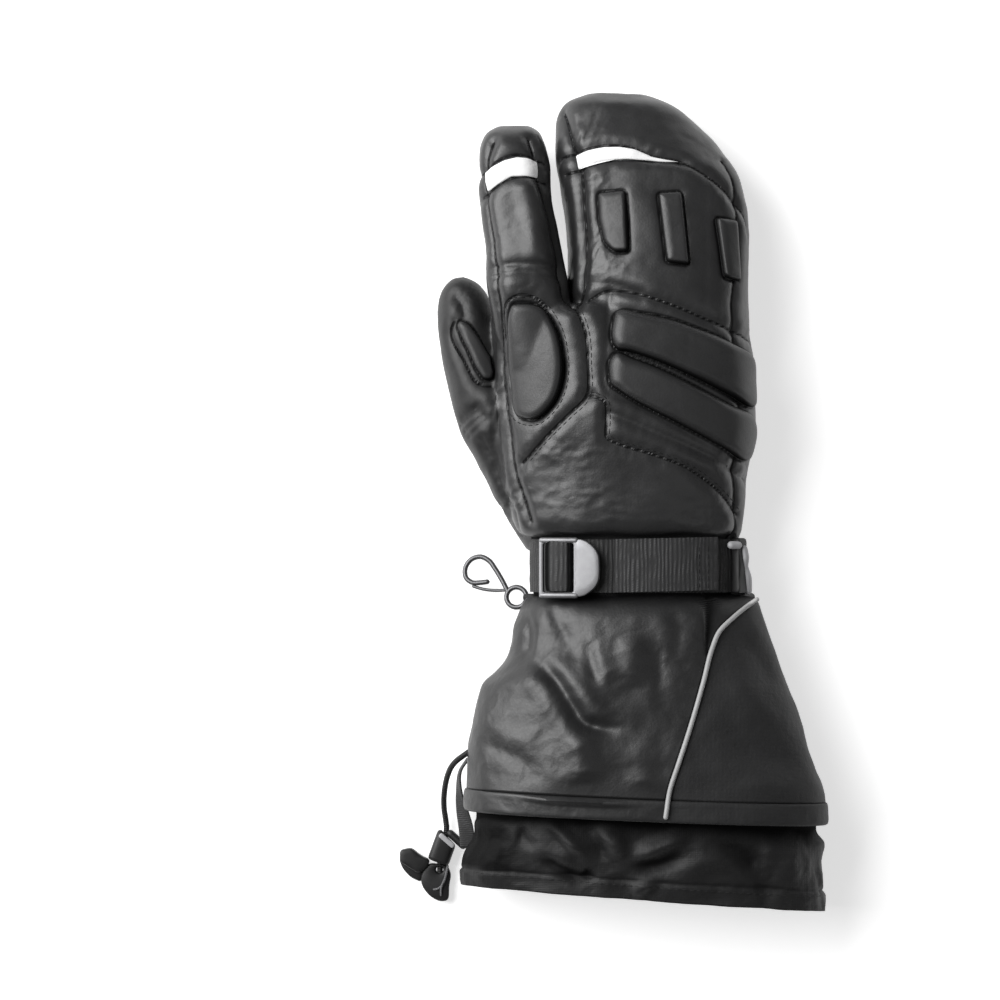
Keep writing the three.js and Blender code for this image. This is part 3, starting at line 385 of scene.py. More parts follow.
def joined(forms: Iterable[Form]) -> Form:
    """Several forms as one, with the marks that all of them have."""
    forms = list(forms)
    starts = np.cumsum([0] + [len(f.points) for f in forms[:-1]])
    names = set.intersection(*(set(f.marks) for f in forms))
    return Form(
        np.concatenate([f.points for f in forms]),
        np.concatenate([f.faces + start for f, start in zip(forms, starts)]),
        {name: np.concatenate([f.marks[name] for f in forms]) for name in sorted(names)},
    )


def capped(form: Form, columns: int) -> Form:
    """Close both ends of a tube whose rows hold an even number of columns."""
    points, last = form.points, len(form.points) - columns
    k = np.arange(0, columns, 2)
    near, end = np.full_like(k, len(points)), np.full_like(k, len(points) + 1)
    first = np.stack([near, k, k + 1, (k + 2) % columns], axis=1)
    final = np.stack([end, last + (k + 2) % columns, last + k + 1, last + k], axis=1)
    middles = np.stack([points[:columns].mean(0), points[last:].mean(0)])
    marks = {
        name: np.concatenate([v, [v[:columns].mean(), v[last:].mean()]])
        for name, v in form.marks.items()
    }
    return Form(np.concatenate([points, middles]), np.concatenate([form.faces, first, final]), marks)


def rod(line: Array, radius: float | Array, sides: int = 12, closed: bool = False,
        flat: float = 1.0, up: Sequence[float] = (0, 0, 1)) -> Form:
    """A round or oval bar along a line, with rounded ends where it is open.

    Args:
        line: its centreline.
        radius: one radius, or one for each point.
        sides: points round it, an even number.
        closed: whether its end joins its start.
        flat: its height as a share of its width.
        up: the way that its height points.

    Returns:
        the closed bar, with marks along and across it.
    """
    radius = np.broadcast_to(np.asarray(radius, float), len(line)).copy()
    if not closed:
        way = [line[0] - line[1], line[-1] - line[-2]]
        caps = np.radians([80, 50, 25])
        for end, first in ((way[0], True), (way[1], False)):
            out = end / np.linalg.norm(end)
            tip, size = (line[0], radius[0]) if first else (line[-1], radius[-1])
            extra = tip + np.outer(np.sin(caps), out * size * min(1.0, flat))
            slim = size * np.cos(caps)
            line = np.concatenate([extra, line] if first else [line, extra[::-1]])
            radius = np.concatenate([slim, radius] if first else [radius, slim[::-1]])
    ahead = np.roll(line, -1, axis=0) - np.roll(line, 1, axis=0)
    if not closed:
        ahead[0], ahead[-1] = line[1] - line[0], line[-1] - line[-2]
    ahead = unit(ahead)
    side = np.cross(ahead, np.asarray(up, float))
    side /= np.maximum(np.linalg.norm(side, axis=1, keepdims=True), 1e-9)
    rise = np.cross(side, ahead)
    turn = 2 * np.pi * np.arange(sides) / sides
    ring = (
        line[:, None]
        + np.cos(turn)[None, :, None] * side[:, None] * radius[:, None, None]
        + np.sin(turn)[None, :, None] * rise[:, None] * radius[:, None, None] * flat
    )
    run = run_of(line)
    marks = {
        "along": np.repeat(run, sides),
        "across": np.tile(turn, len(line)) * float(radius.max()),
    }
    faces = grid_faces(len(line), sides, True, closed)[:, ::-1]
    tube = Form(ring.reshape(-1, 3), faces, marks)
    return tube if closed else capped(tube, sides)


def settle(piece: bpy.types.Object, slot: str, *nodes: str) -> bpy.types.Object:
    """Let a piece ride on the mitt and stand for its CAD nodes, which are hidden.

    Args:
        piece: the new object.
        slot: the record's material slot; not used.
        nodes: the CAD nodes that it stands for.

    Returns:
        the same object.
    """
    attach(piece, BODY)
    if nodes:
        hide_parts(*nodes)
    log.info("%s: %d faces, for %s", piece.name, len(piece.data.polygons), ", ".join(nodes) or "trim")
    return piece


@dataclass(frozen=True)
class Sections:
    """Rounded sections across the Y axis, joined by smooth curves."""

    rows: Array  # y, left, right, top, bottom, slant and rest, a row for each section

    @classmethod
    def of(cls, *blocks: Iterable[Sequence[float]]) -> "Sections":
        """Stack blocks of rows in order of y."""
        rows = np.array([row for block in blocks for row in block], float)
        return cls(rows[np.argsort(rows[:, 0], kind="stable")])

    def at(self, y: Array | float) -> Array:
        """The seven values of the sections at some y."""
        return spline(self.rows[:, 0], self.rows, np.atleast_1d(y), True)

    def turn_at_x(self, x: Array, y: Array) -> Array:
        """Turns from +X at which the back passes some x."""
        _, left, right, _, _, _, _ = self.at(y).T
        u = np.clip((x - (left + right) / 2) / ((right - left) / 2), -0.999, 0.999)
        return np.arccos(bent(u, SQUARENESS / 2)) / (2 * np.pi)

    def left_turn_at_z(self, z: float, y: Array) -> Array:
        """Turns from +X at which the left side passes some height."""
        _, _, _, top, bottom, _, _ = self.at(y).T
        middle = bottom + WAIST * (top - bottom)
        u = np.where(z > middle, (z - middle) / (top - middle), (z - middle) / (middle - bottom))
        u = np.clip(u, -0.98, 0.98)
        return 0.5 - np.arcsin(bent(u, SQUARENESS / 2)) / (2 * np.pi)

    def surface(self, ys: Array, turns: Array, grow: float | Array = 0.0) -> Form:
        """The tube's outside as a grid.

        Args:
            ys: the rows' places, rising.
            turns: the columns in turns from +X through +Z, for all rows or row by row.
            grow: distance outwards from the modelled surface, for all rows or row by row.

        Returns:
            the surface, with its place along and round it as marks.
        """
        y, left, right, top, bottom, slant, rest = self.at(ys).T[:, :, None]
        turns = np.broadcast_to(turns, (len(ys), np.shape(turns)[-1]))
        grow = np.broadcast_to(np.reshape(grow, (-1, 1)), turns.shape).reshape(-1, 1)
        cos, sin = np.cos(2 * np.pi * turns), np.sin(2 * np.pi * turns)
        power = 2 / SQUARENESS
        x = (left + right) / 2 + bent(cos, power) * (right - left) / 2
        height = bottom + WAIST * (top - bottom)
        rise = np.where(sin > 0, top - height, height - bottom)
        z = height + bent(sin, power) * rise
        points = np.stack([x, y + slant * x, z], axis=-1).reshape(-1, 3)
        row = turns[0]
        around = bool(abs(row[-1] - row[0]) > 0.9 and row[-1] - row[0] < 0.9999)
        form = Form(points, grid_faces(len(ys), turns.shape[1], around)[:, ::-1])
        form.points = form.points + form.normals() * grow
        floor = (rest + 0 * x).reshape(-1, 1) - grow
        form.points[:, 2] = np.maximum(form.points[:, 2], floor[:, 0])
        form.marks = {"along": np.repeat(np.asarray(ys, float), turns.shape[1]), "turn": turns.ravel()}
        return form

    def height(self, x: Array, y: Array) -> Array:
        """Height of the back above points seen from above."""
        _, left, right, top, bottom, _, _ = self.at(y).T
        u = np.clip(np.abs(x - (left + right) / 2) / ((right - left) / 2), 0, 1)
        middle = bottom + WAIST * (top - bottom)
        return middle + (top - middle) * (1 - u**SQUARENESS) ** (1 / SQUARENESS)


def block(rows: Iterable[Sequence[float]], place: Callable[[float], float], wide: float,
          deep: float, slant: Callable[[float], float] = lambda at: 0.0,
          rest: float = REST) -> list[list[float]]:
    """Rows of shares as rows of millimetres.

    Args:
        rows: run, left, right, top and bottom; all but the run are shares.
        place: gives y for a run.
        wide: the width.
        deep: the depth.
        slant: gives how far a section leans along Y for each millimetre across, for a run.
        rest: height of the flattened underside.

    Returns:
        rows of y, left, right, top, bottom, slant and rest.
    """
    return [
        [place(at), a * wide, b * wide, c * deep, d * deep, slant(at), rest]
        for at, a, b, c, d in rows
    ]


# Section tables. The columns are run, left, right, top and bottom: left and right are shares of the
# width, top and bottom of the depth.
SKIRT_ROWS = [
    (1.3, -0.54, 0.508, 0.82, -0.05),
    (1.0, -0.536, 0.504, 0.86, -0.05),
    (0.55, -0.524, 0.496, 0.92, -0.05),
    (0.12, -0.517, 0.492, 0.98, -0.05),
]
CUFF_ROWS = [
    (0.97, -0.509, 0.487, 1.0, -0.04),
    (0.81, -0.504, 0.454, 0.99, -0.03),
    (0.63, -0.49, 0.42, 0.97, -0.02),
    (0.46, -0.466, 0.386, 0.94, 0.0),
    (0.28, -0.384, 0.347, 0.9, 0.02),
    (0.12, -0.366, 0.317, 0.86, 0.04),
    (0.02, -0.341, 0.294, 0.775, 0.06),
]
WRIST_ROWS = [(0.0, -0.447, 0.339, 0.825, 0.12), (1.0, -0.447, 0.339, 0.825, 0.12)]
PALM_ROWS = [
    (0.015, -0.495, 0.347, 0.94, 0.07),
    (0.08, -0.525, 0.355, 0.985, 0.02),
    (0.25, -0.555, 0.37, 0.995, -0.03),
    (0.48, -0.576, 0.41, 1.015, -0.04),
    (0.75, -0.597, 0.4, 1.0, -0.03),
    (0.94, -0.605, 0.376, 0.955, 0.01),
    (1.0, -0.575, 0.355, 0.87, 0.09),
]
LOBE_ROWS = [
    (-0.5, -0.36, 0.5, 0.95, -0.02),
    (-0.2, -0.38, 0.52, 1.0, -0.03),
    (0.03, -0.413, 0.51, 1.0, -0.03),
    (0.34, -0.433, 0.513, 0.92, -0.01),
    (0.57, -0.466, 0.476, 0.84, 0.01),
    (0.74, -0.485, 0.37, 0.74, 0.02),
    (0.86, -0.478, 0.245, 0.65, 0.04),
    (0.95, -0.435, 0.12, 0.57, 0.08),
    (1.005, -0.33, -0.02, 0.42, 0.18),
]
INDEX_ROWS = [
    (-0.62, -1.7, -1.1, 1.25, 0.65),
    (-0.3, -1.98, -0.98, 1.6, 0.5),
    (0.02, -2.125, -1.09, 1.64, 0.62),
    (0.3, -2.19, -1.185, 1.56, 0.56),
    (0.64, -2.255, -1.345, 1.4, 0.42),
    (0.86, -2.28, -1.4, 1.24, 0.34),
    (0.96, -2.2, -1.46, 1.08, 0.42),
    (1.005, -2.04, -1.6, 0.9, 0.58),
]
# The thumb's centreline as shares of its length, and its half sections of its width and depth
THUMB_ROWS = [
    (-0.02, -0.03, 0.01, 0.42, 0.4),
    (-0.12, 0.163, 0.0, 0.48, 0.47),
    (-0.229, 0.382, -0.01, 0.5, 0.5),
    (-0.285, 0.53, -0.018, 0.48, 0.49),
    (-0.325, 0.68, -0.025, 0.45, 0.47),
    (-0.354, 0.82, -0.034, 0.38, 0.4),
    (-0.366, 0.89, -0.038, 0.26, 0.29),
    (-0.371, 0.924, -0.04, 0.1, 0.12),
]
THUMB_ROOT = np.array([-0.347 * HAND_WIDTH, WRIST_Y + 0.03 * HAND_LENGTH, 18.5])


def cuff_slant(run: float) -> float:
    """How much a section of the gauntlet leans, at its run down the gauntlet."""
    t = min(1.0, max(0.0, (run - 0.4) / 0.5))
    return HEM_SLANT * t * t * (3 - 2 * t)


WRIST = block(WRIST_ROWS, lambda at: CUFF_Y + at * (WRIST_Y - CUFF_Y), HAND_WIDTH, HAND_DEPTH)
PALM = Sections.of(
    WRIST, block(PALM_ROWS, lambda at: WRIST_Y + at * HAND_LENGTH, HAND_WIDTH, HAND_DEPTH)
)
LOBE = Sections.of(block(LOBE_ROWS, lambda at: CROTCH_Y + at * LOBE_LENGTH, LOBE_WIDTH, LOBE_DEPTH))
INDEX = Sections.of(
    block(INDEX_ROWS, lambda at: CROTCH_Y + at * INDEX_LENGTH, INDEX_WIDTH, INDEX_DEPTH)
)
CUFF = Sections.of(
    block(SKIRT_ROWS, lambda at: SKIRT_TOP - at * SKIRT_REACH, CUFF_WIDTH, CUFF_DEPTH,
          lambda at: HEM_SLANT + (SKIRT_SLANT - HEM_SLANT) * at, SKIRT_REST),
    block([(0, -0.511, 0.49, 1.0, -0.05)], lambda at: SKIRT_TOP, CUFF_WIDTH, CUFF_DEPTH,
          lambda at: HEM_SLANT),
    block(CUFF_ROWS, lambda at: CUFF_Y - at * CUFF_LENGTH, CUFF_WIDTH, CUFF_DEPTH, cuff_slant),
    WRIST,
)


class Thumb:
    """The thumb's bent tube."""

    def __init__(self) -> None:
        """Work out the centreline and half sections in millimetres."""
        rows = np.array(THUMB_ROWS)
        self.centres = rows[:, :3] * THUMB_LENGTH + THUMB_ROOT
        self.halves = rows[:, 3:] * (THUMB_WIDTH, THUMB_DEPTH)
        self.run = np.arange(len(rows), dtype=float)

    def form(self, rows: int = 90, columns: int = 72) -> Form:
        """The whole thumb as a closed form."""
        runs = np.linspace(0, self.run[-1], rows)
        centres = spline(self.run, self.centres, runs)
        halves = spline(self.run, self.halves, runs)
        axis = unit(np.gradient(centres, runs, axis=0))
        side = unit(np.cross(axis, [0, 0, 1]))
        up = np.cross(side, axis)
        turn = 2 * np.pi * np.arange(columns)[None, :, None] / columns
        ring = (
            centres[:, None]
            + np.cos(turn) * side[:, None] * halves[:, None, :1]
            + np.sin(turn) * up[:, None] * halves[:, None, 1:]
        )
        ring[..., 2] = np.maximum(ring[..., 2], REST)
        tube = Form(ring.reshape(-1, 3), grid_faces(rows, columns, True)[:, ::-1])
        return capped(tube, columns)


class Wire:
    """A shader socket that takes part in arithmetic."""

    def __init__(self, shop: "Shop", socket: Any) -> None:
        """Wrap an output socket of a material that a shop builds."""
        self.shop = shop
        self.socket = socket

    def __add__(self, other: Any) -> "Wire":
        """Sum."""
        return self.shop.math("ADD", self, other)

    def __sub__(self, other: Any) -> "Wire":
        """Difference."""
        return self.shop.math("SUBTRACT", self, other)

    def __rsub__(self, other: Any) -> "Wire":
        """Difference from a number."""
        return self.shop.math("SUBTRACT", other, self)

    def __mul__(self, other: Any) -> "Wire":
        """Product."""
        return self.shop.math("MULTIPLY", self, other)

    __radd__ = __add__
    __rmul__ = __mul__

    def wave(self) -> "Wire":
        """Sine of the value, moved to between 0 and 1."""
        return self.shop.math("SINE", self) * 0.5 + 0.5

    def eased(self, low: float, high: float) -> "Wire":
        """0 below low and 1 above high, smooth between."""
        ends = {0: self, 1: low, 2: high, 3: 0.0, 4: 1.0}
        return self.shop.node("ShaderNodeMapRange", {"interpolation_type": "SMOOTHSTEP"}, ends)


class Shop:
    """Builds the nodes of one material."""

    def __init__(self, name: str) -> None:
        """Start an empty material of that name."""
        self.material = bpy.data.materials.new(name)
        self.material.use_nodes = True
        self.tree = self.material.node_tree
        self.tree.nodes.clear()

    def node(self, kind: str, settings: dict[str, Any], sockets: dict[Any, Any],
             output: int | str = 0) -> Wire:
        """Add any node.

        Args:
            kind: its type.
            settings: its properties, set first.
            sockets: values or links for its inputs, by name or number.
            output: which output to return.

        Returns:
            that output.
        """
        made = self.tree.nodes.new(kind)
        for name, value in settings.items():
            setattr(made, name, value)
        for name, value in sockets.items():
            if isinstance(value, Wire):
                self.tree.links.new(value.socket, made.inputs[name])
            else:
                made.inputs[name].default_value = value
        return Wire(self, made.outputs[output] if len(made.outputs) else None)

    def math(self, operation: str, *values: Any) -> Wire:
        """Add a Math node."""
        return self.node("ShaderNodeMath", {"operation": operation}, dict(enumerate(values)))

    def mark(self, name: str) -> Wire:
        """A value that the mesh carries at its points."""
        kind = {"attribute_type": "GEOMETRY", "attribute_name": name}
        return self.node("ShaderNodeAttribute", kind, {}, "Fac")

    def place(self, pitch: float, stretch: Sequence[float] = (1, 1, 1)) -> Wire:
        """The point's own place on the mitt, in cells of a size in millimetres.

        Args:
            pitch: size of the cells.
            stretch: factors along X, Y and Z.

        Returns:
            the place.
        """
        spot = self.node("ShaderNodeTexCoord", {}, {}, "Object")
        cells = [factor / (pitch * MM) for factor in stretch]
        return self.node("ShaderNodeVectorMath", {"operation": "MULTIPLY"}, {0: spot, 1: cells})

    def noise(self, pitch: float, detail: float = 2.0, rough: float = 0.5,
              stretch: Sequence[float] = (1, 1, 1)) -> Wire:
        """Noise from about 0 to 1.

        Args:
            pitch: size of its cells in millimetres.
            detail: octaves.
            rough: height of each octave against the one before.
            stretch: factors along X, Y and Z.

        Returns:
            the noise.
        """
        spot = self.place(pitch, stretch)
        sockets = {"Vector": spot, "Scale": 1.0, "Detail": detail, "Roughness": rough}
        return self.node("ShaderNodeTexNoise", {}, sockets, "Fac")

    def cells(self, pitch: float, feature: str = "F1") -> Wire:
        """Distance in scattered cells: to a cell's centre, or to its edge."""
        sockets = {"Vector": self.place(pitch), "Scale": 1.0}
        return self.node("ShaderNodeTexVoronoi", {"feature": feature}, sockets, "Distance")

    def blend(self, factor: Any, a: Any, b: Any) -> Wire:
        """Mix two colours."""
        return self.node("ShaderNodeMix", {"data_type": "RGBA"}, {0: factor, 6: a, 7: b}, 2)

    def bump(self, height: Wire, depth: float, under: Wire | None = None) -> Wire:
        """A normal bent by a height.

        Args:
            height: the height, in units of depth.
            depth: millimetres for a height of 1.
            under: a normal to start from.

        Returns:
            the new normal.
        """
        sockets: dict[str, Any] = {"Height": height, "Distance": depth * MM, "Strength": 1.0}
        if under is not None:
            sockets["Normal"] = under
        return self.node("ShaderNodeBump", {}, sockets, "Normal")

    def surface(self, shade: Wire | None = None, **sockets: Any) -> bpy.types.Material:
        """Finish the material with a Principled shader.

        Args:
            shade: how much of a dead black is mixed in.
            sockets: its inputs, with _ for a space.

        Returns:
            the material.
        """
        named = {name.replace("_", " "): value for name, value in sockets.items()}
        shader = self.node("ShaderNodeBsdfPrincipled", {}, named)
        if shade is not None:
            dull = {"Base Color": grey(0.002), "Roughness": 1.0, "Specular IOR Level": 0.0}
            black = self.node("ShaderNodeBsdfPrincipled", {}, dull)
            shader = self.node("ShaderNodeMixShader", {}, {0: shade, 1: shader, 2: black})
        self.node("ShaderNodeOutputMaterial", {}, {"Surface": shader})
        return self.material


def grey(level: float, blue: float = 0.03) -> tuple[float, float, float, float]:
    """A grey, faintly blue."""
    return (level, level, level * (1 + blue), 1.0)


@dataclass(frozen=True)
class Leather:
    """Coated leather with a pebbled grain and fine wrinkles; a dead black is mixed in as painted shade
    where its seam mark is low: sewn grooves, creases, pleat valleys, pad rims, under the strap and
    beside the flap.
    """

    name: str
    tone: float = 0.014
    gloss: float = 0.41
    pebble: float = 0.9
    grain: float = 0.035
    wrinkle: float = 0.06
    coat: float = 0.1
    shine: float = 0.64

    def material(self) -> bpy.types.Material:
        """Build the finish."""
        shop = Shop(self.name)
        seam = shop.mark("seam")
        # painted shade: a dead black is mixed in where the seam mark is low
        painted_groove_shade = 1 - seam.eased(0.0, 1.0)
        cloud = shop.noise(13, 3)
        pebbles = shop.cells(self.pebble, "SMOOTH_F1")
        fine = shop.noise(0.35, 2)
        wrinkles = shop.noise(3.4, 5, 0.62)
        base = shop.blend(cloud, grey(self.tone * 0.78), grey(self.tone * 1.3))
        rough = self.gloss - 0.09 + 0.14 * cloud + 0.1 * pebbles
        relief = shop.bump(wrinkles, self.wrinkle)
        relief = shop.bump(fine * 0.4 - pebbles, self.grain, relief)
        relief = shop.bump(seam.eased(0.0, 0.9), 0.45, relief)
        return shop.surface(painted_groove_shade * 0.85, Base_Color=base, Roughness=rough, Normal=relief,
                            Specular_IOR_Level=self.shine, Coat_Weight=self.coat, Coat_Roughness=0.3)


@dataclass(frozen=True)
class Nylon:
    """Plain woven nylon with a dull coating."""

    name: str
    tone: float = 0.028
    gloss: float = 0.56
    yarn: float = 0.6
    crumple: float = 0.25

    def material(self) -> bpy.types.Material:
        """Build the finish."""
        shop = Shop(self.name)
        cell = shop.place(self.yarn / (2 * math.pi))
        parts = shop.node("ShaderNodeSeparateXYZ", {}, {0: cell}, "X").socket.node.outputs
        weave = Wire(shop, parts["X"]).wave() * Wire(shop, parts["Y"]).wave()
        cloud = shop.noise(10, 3)
        soft = shop.noise(2.6, 4, 0.6)
        fuzz = shop.noise(0.4, 2)
        base = shop.blend(cloud, grey(self.tone * 0.82), grey(self.tone * 1.22))
        # painted highlight: the weave's raised yarns are lighter
        base = shop.blend(weave * 0.35, base, grey(self.tone * 1.9))
        relief = shop.bump(soft, self.crumple)
        relief = shop.bump(weave + fuzz * 0.5, 0.06, relief)
        rough = self.gloss + 0.14 * cloud - 0.06 * weave
        # painted shade: a dead black is mixed in by the shade mark
        return shop.surface(shop.mark("shade") * 0.9, Base_Color=base, Roughness=rough, Normal=relief,
                            Specular_IOR_Level=0.4)


@dataclass(frozen=True)
class Webbing:
    """Woven tape with ribs across it, laid out by the marks along and across."""

    name: str
    tone: float = 0.026
    rib: float = 1.5
    yarn: float = 0.95
    depth: float = 0.3

    def material(self) -> bpy.types.Material:
        """Build the finish."""
        shop = Shop(self.name)
        along, across = shop.mark("along"), shop.mark("across")
        wobble = shop.noise(7, 2, 0.5, (1, 0.3, 1))
        ribs = (along * (2 * math.pi / self.rib) + wobble * 9).wave()
        yarns = (across * (2 * math.pi / self.yarn) + along * (math.pi / self.rib)).wave()
        fuzz = shop.noise(0.35, 2)
        # paler patches of wear
        paler = shop.noise(5, 3)
        height = (ribs * 0.65 + ribs * yarns * 0.35) * shop.noise(6, 3).eased(0.25, 0.65)
        # painted shade and highlight: darker in the rib valleys, lighter on the ribs
        base = shop.blend(height, grey(self.tone * 0.55), grey(self.tone * 1.5))
        base = shop.blend(paler * 0.3, base, grey(self.tone * 1.8))
        relief = shop.bump(height + fuzz * 0.3, self.depth)
        # painted shade: a dead black is mixed in by the shade mark
        return shop.surface(shop.mark("shade") * 0.9, Base_Color=base, Roughness=0.66 - 0.14 * height,
                            Normal=relief)


@dataclass(frozen=True)
class Tape:
    """Reflective tape or piping: fine glass beads on cloth."""

    name: str
    tone: float = 0.85
    # painted glow: emission that lights the tape though it is no lamp
    painted_glow: float = 0.0

    def material(self) -> bpy.types.Material:
        """Build the finish."""
        shop = Shop(self.name)
        beads = shop.cells(0.35)
        cloud = shop.noise(4, 3)
        base = shop.blend(cloud, grey(self.tone * 0.9, 0), grey(min(1.0, self.tone * 1.07), 0))
        relief = shop.bump(beads, 0.05)
        return shop.surface(Base_Color=base, Roughness=0.42 + 0.12 * beads, Normal=relief,
                            Emission_Color=grey(1.0, 0), Emission_Strength=self.painted_glow)


@dataclass(frozen=True)
class Metal:
    """Blasted or drawn metal, lighter in places of wear."""

    name: str
    tone: float = 0.45
    gloss: float = 0.34
    blast: float = 0.35

    def material(self) -> bpy.types.Material:
        """Build the finish."""
        shop = Shop(self.name)
        grains = shop.noise(self.blast, 3, 0.6)
        cloud = shop.noise(3.5, 3)
        base = shop.blend(cloud, grey(self.tone * 0.82), grey(self.tone * 1.18))
        relief = shop.bump(grains, 0.05)
        rough = self.gloss + 0.12 * grains + 0.08 * cloud
        return shop.surface(Base_Color=base, Metallic=0.85, Roughness=rough, Normal=relief)


@dataclass(frozen=True)
class Plastic:
    """Moulded plastic with a fine spark texture."""

    name: str
    tone: float = 0.024
    gloss: float = 0.36

    def material(self) -> bpy.types.Material:
        """Build the finish."""
        shop = Shop(self.name)
        spark = shop.noise(0.25, 2)
        cloud = shop.noise(5, 3)
        base = shop.blend(cloud, grey(self.tone * 0.85), grey(self.tone * 1.2))
        relief = shop.bump(spark, 0.035)
        rough = self.gloss + 0.1 * spark + 0.08 * cloud
        return shop.surface(Base_Color=base, Roughness=rough, Normal=relief)


class Finishes:
    """Every material of the mitt, each made once."""

    def __init__(self) -> None:
        """Build them all."""
        self.leather = Leather("shell_leather", 0.018).material()
        # painted shade: a darker, duller copy of the shell leather for the thumb, which faces the light
        self.shaded_thumb_leather = Leather("shaded_thumb_leather", 0.011, 0.48, coat=0.0, shine=0.5).material()
        cuff = Leather("gauntlet_leather", 0.012, 0.43, 1.1, 0.04, 0.08, 0.04, 0.62)
        self.cuff_leather = cuff.material()
        self.pad_leather = Leather("pad_leather", 0.017, 0.47, 0.8, 0.03, 0.04, 0.04).material()
        self.nylon = Nylon("gauntlet_nylon_weave", 0.019).material()
        self.skirt_nylon = Nylon("skirt_nylon_weave", 0.011, 0.5, 0.8, 0.3).material()
        self.webbing = Webbing("strap_webbing", 0.03, 1.9, 1.1, 0.26).material()
        # painted shade: a darker copy of the strap webbing for the strap under the tail
        self.shaded_under_webbing = Webbing("shaded_under_strap_webbing", 0.014, 1.9, 1.1, 0.3).material()
        self.braid = Webbing("cord_braid", 0.006, 1.0, 0.8, 0.2).material()
        self.tab = Webbing("tab_webbing", 0.035, 1.0, 0.8, 0.15).material()
        # the cord end's pale grey is a painted glint
        self.core = Webbing("cord_end_glint", 0.16, 0.9, 0.7, 0.2).material()
        # pale grey plastic: painted highlight on the cord lock's lip and on the side buckle's rail
        self.paler = Plastic("highlight_grey_plastic", 0.42, 0.42).material()
        self.thread = Plastic("stitch_thread", 0.01, 0.62).material()
        # the white tape's faint emission is a painted glow
        self.white_tape = Tape("white_tape", 0.9, 0.12).material()
        self.grey_tape = Tape("grey_piping", 0.42).material()
        self.buckle = Metal("buckle_metal", 0.3, 0.44).material()
        self.wire = Metal("clip_wire", 0.12, 0.3, 1.2).material()
        self.plastic = Plastic("moulded_black", 0.008, 0.42).material()


class Side(Enum):
    """From which side a line or pad is laid on the hand; the value is the way that it falls."""

    BACK = -1.0
    PALM = 1.0


@dataclass(frozen=True)
class Seam:
    """A line sewn or creased into the hand, or with a negative depth a ridge."""

    points: tuple[tuple[float, float], ...]
    depth: float = 1.2
    width: float = 1.8
    pucker: float = 0.22
    pillow: float = 0.5  # how far the panels beside it swell up
    side: Side = Side.BACK
    closed: bool = False
    crisp: bool = True  # a sewn line, not a soft crease
    stitch: tuple[float, ...] = ()  # rows of stitches, by their distance from the line


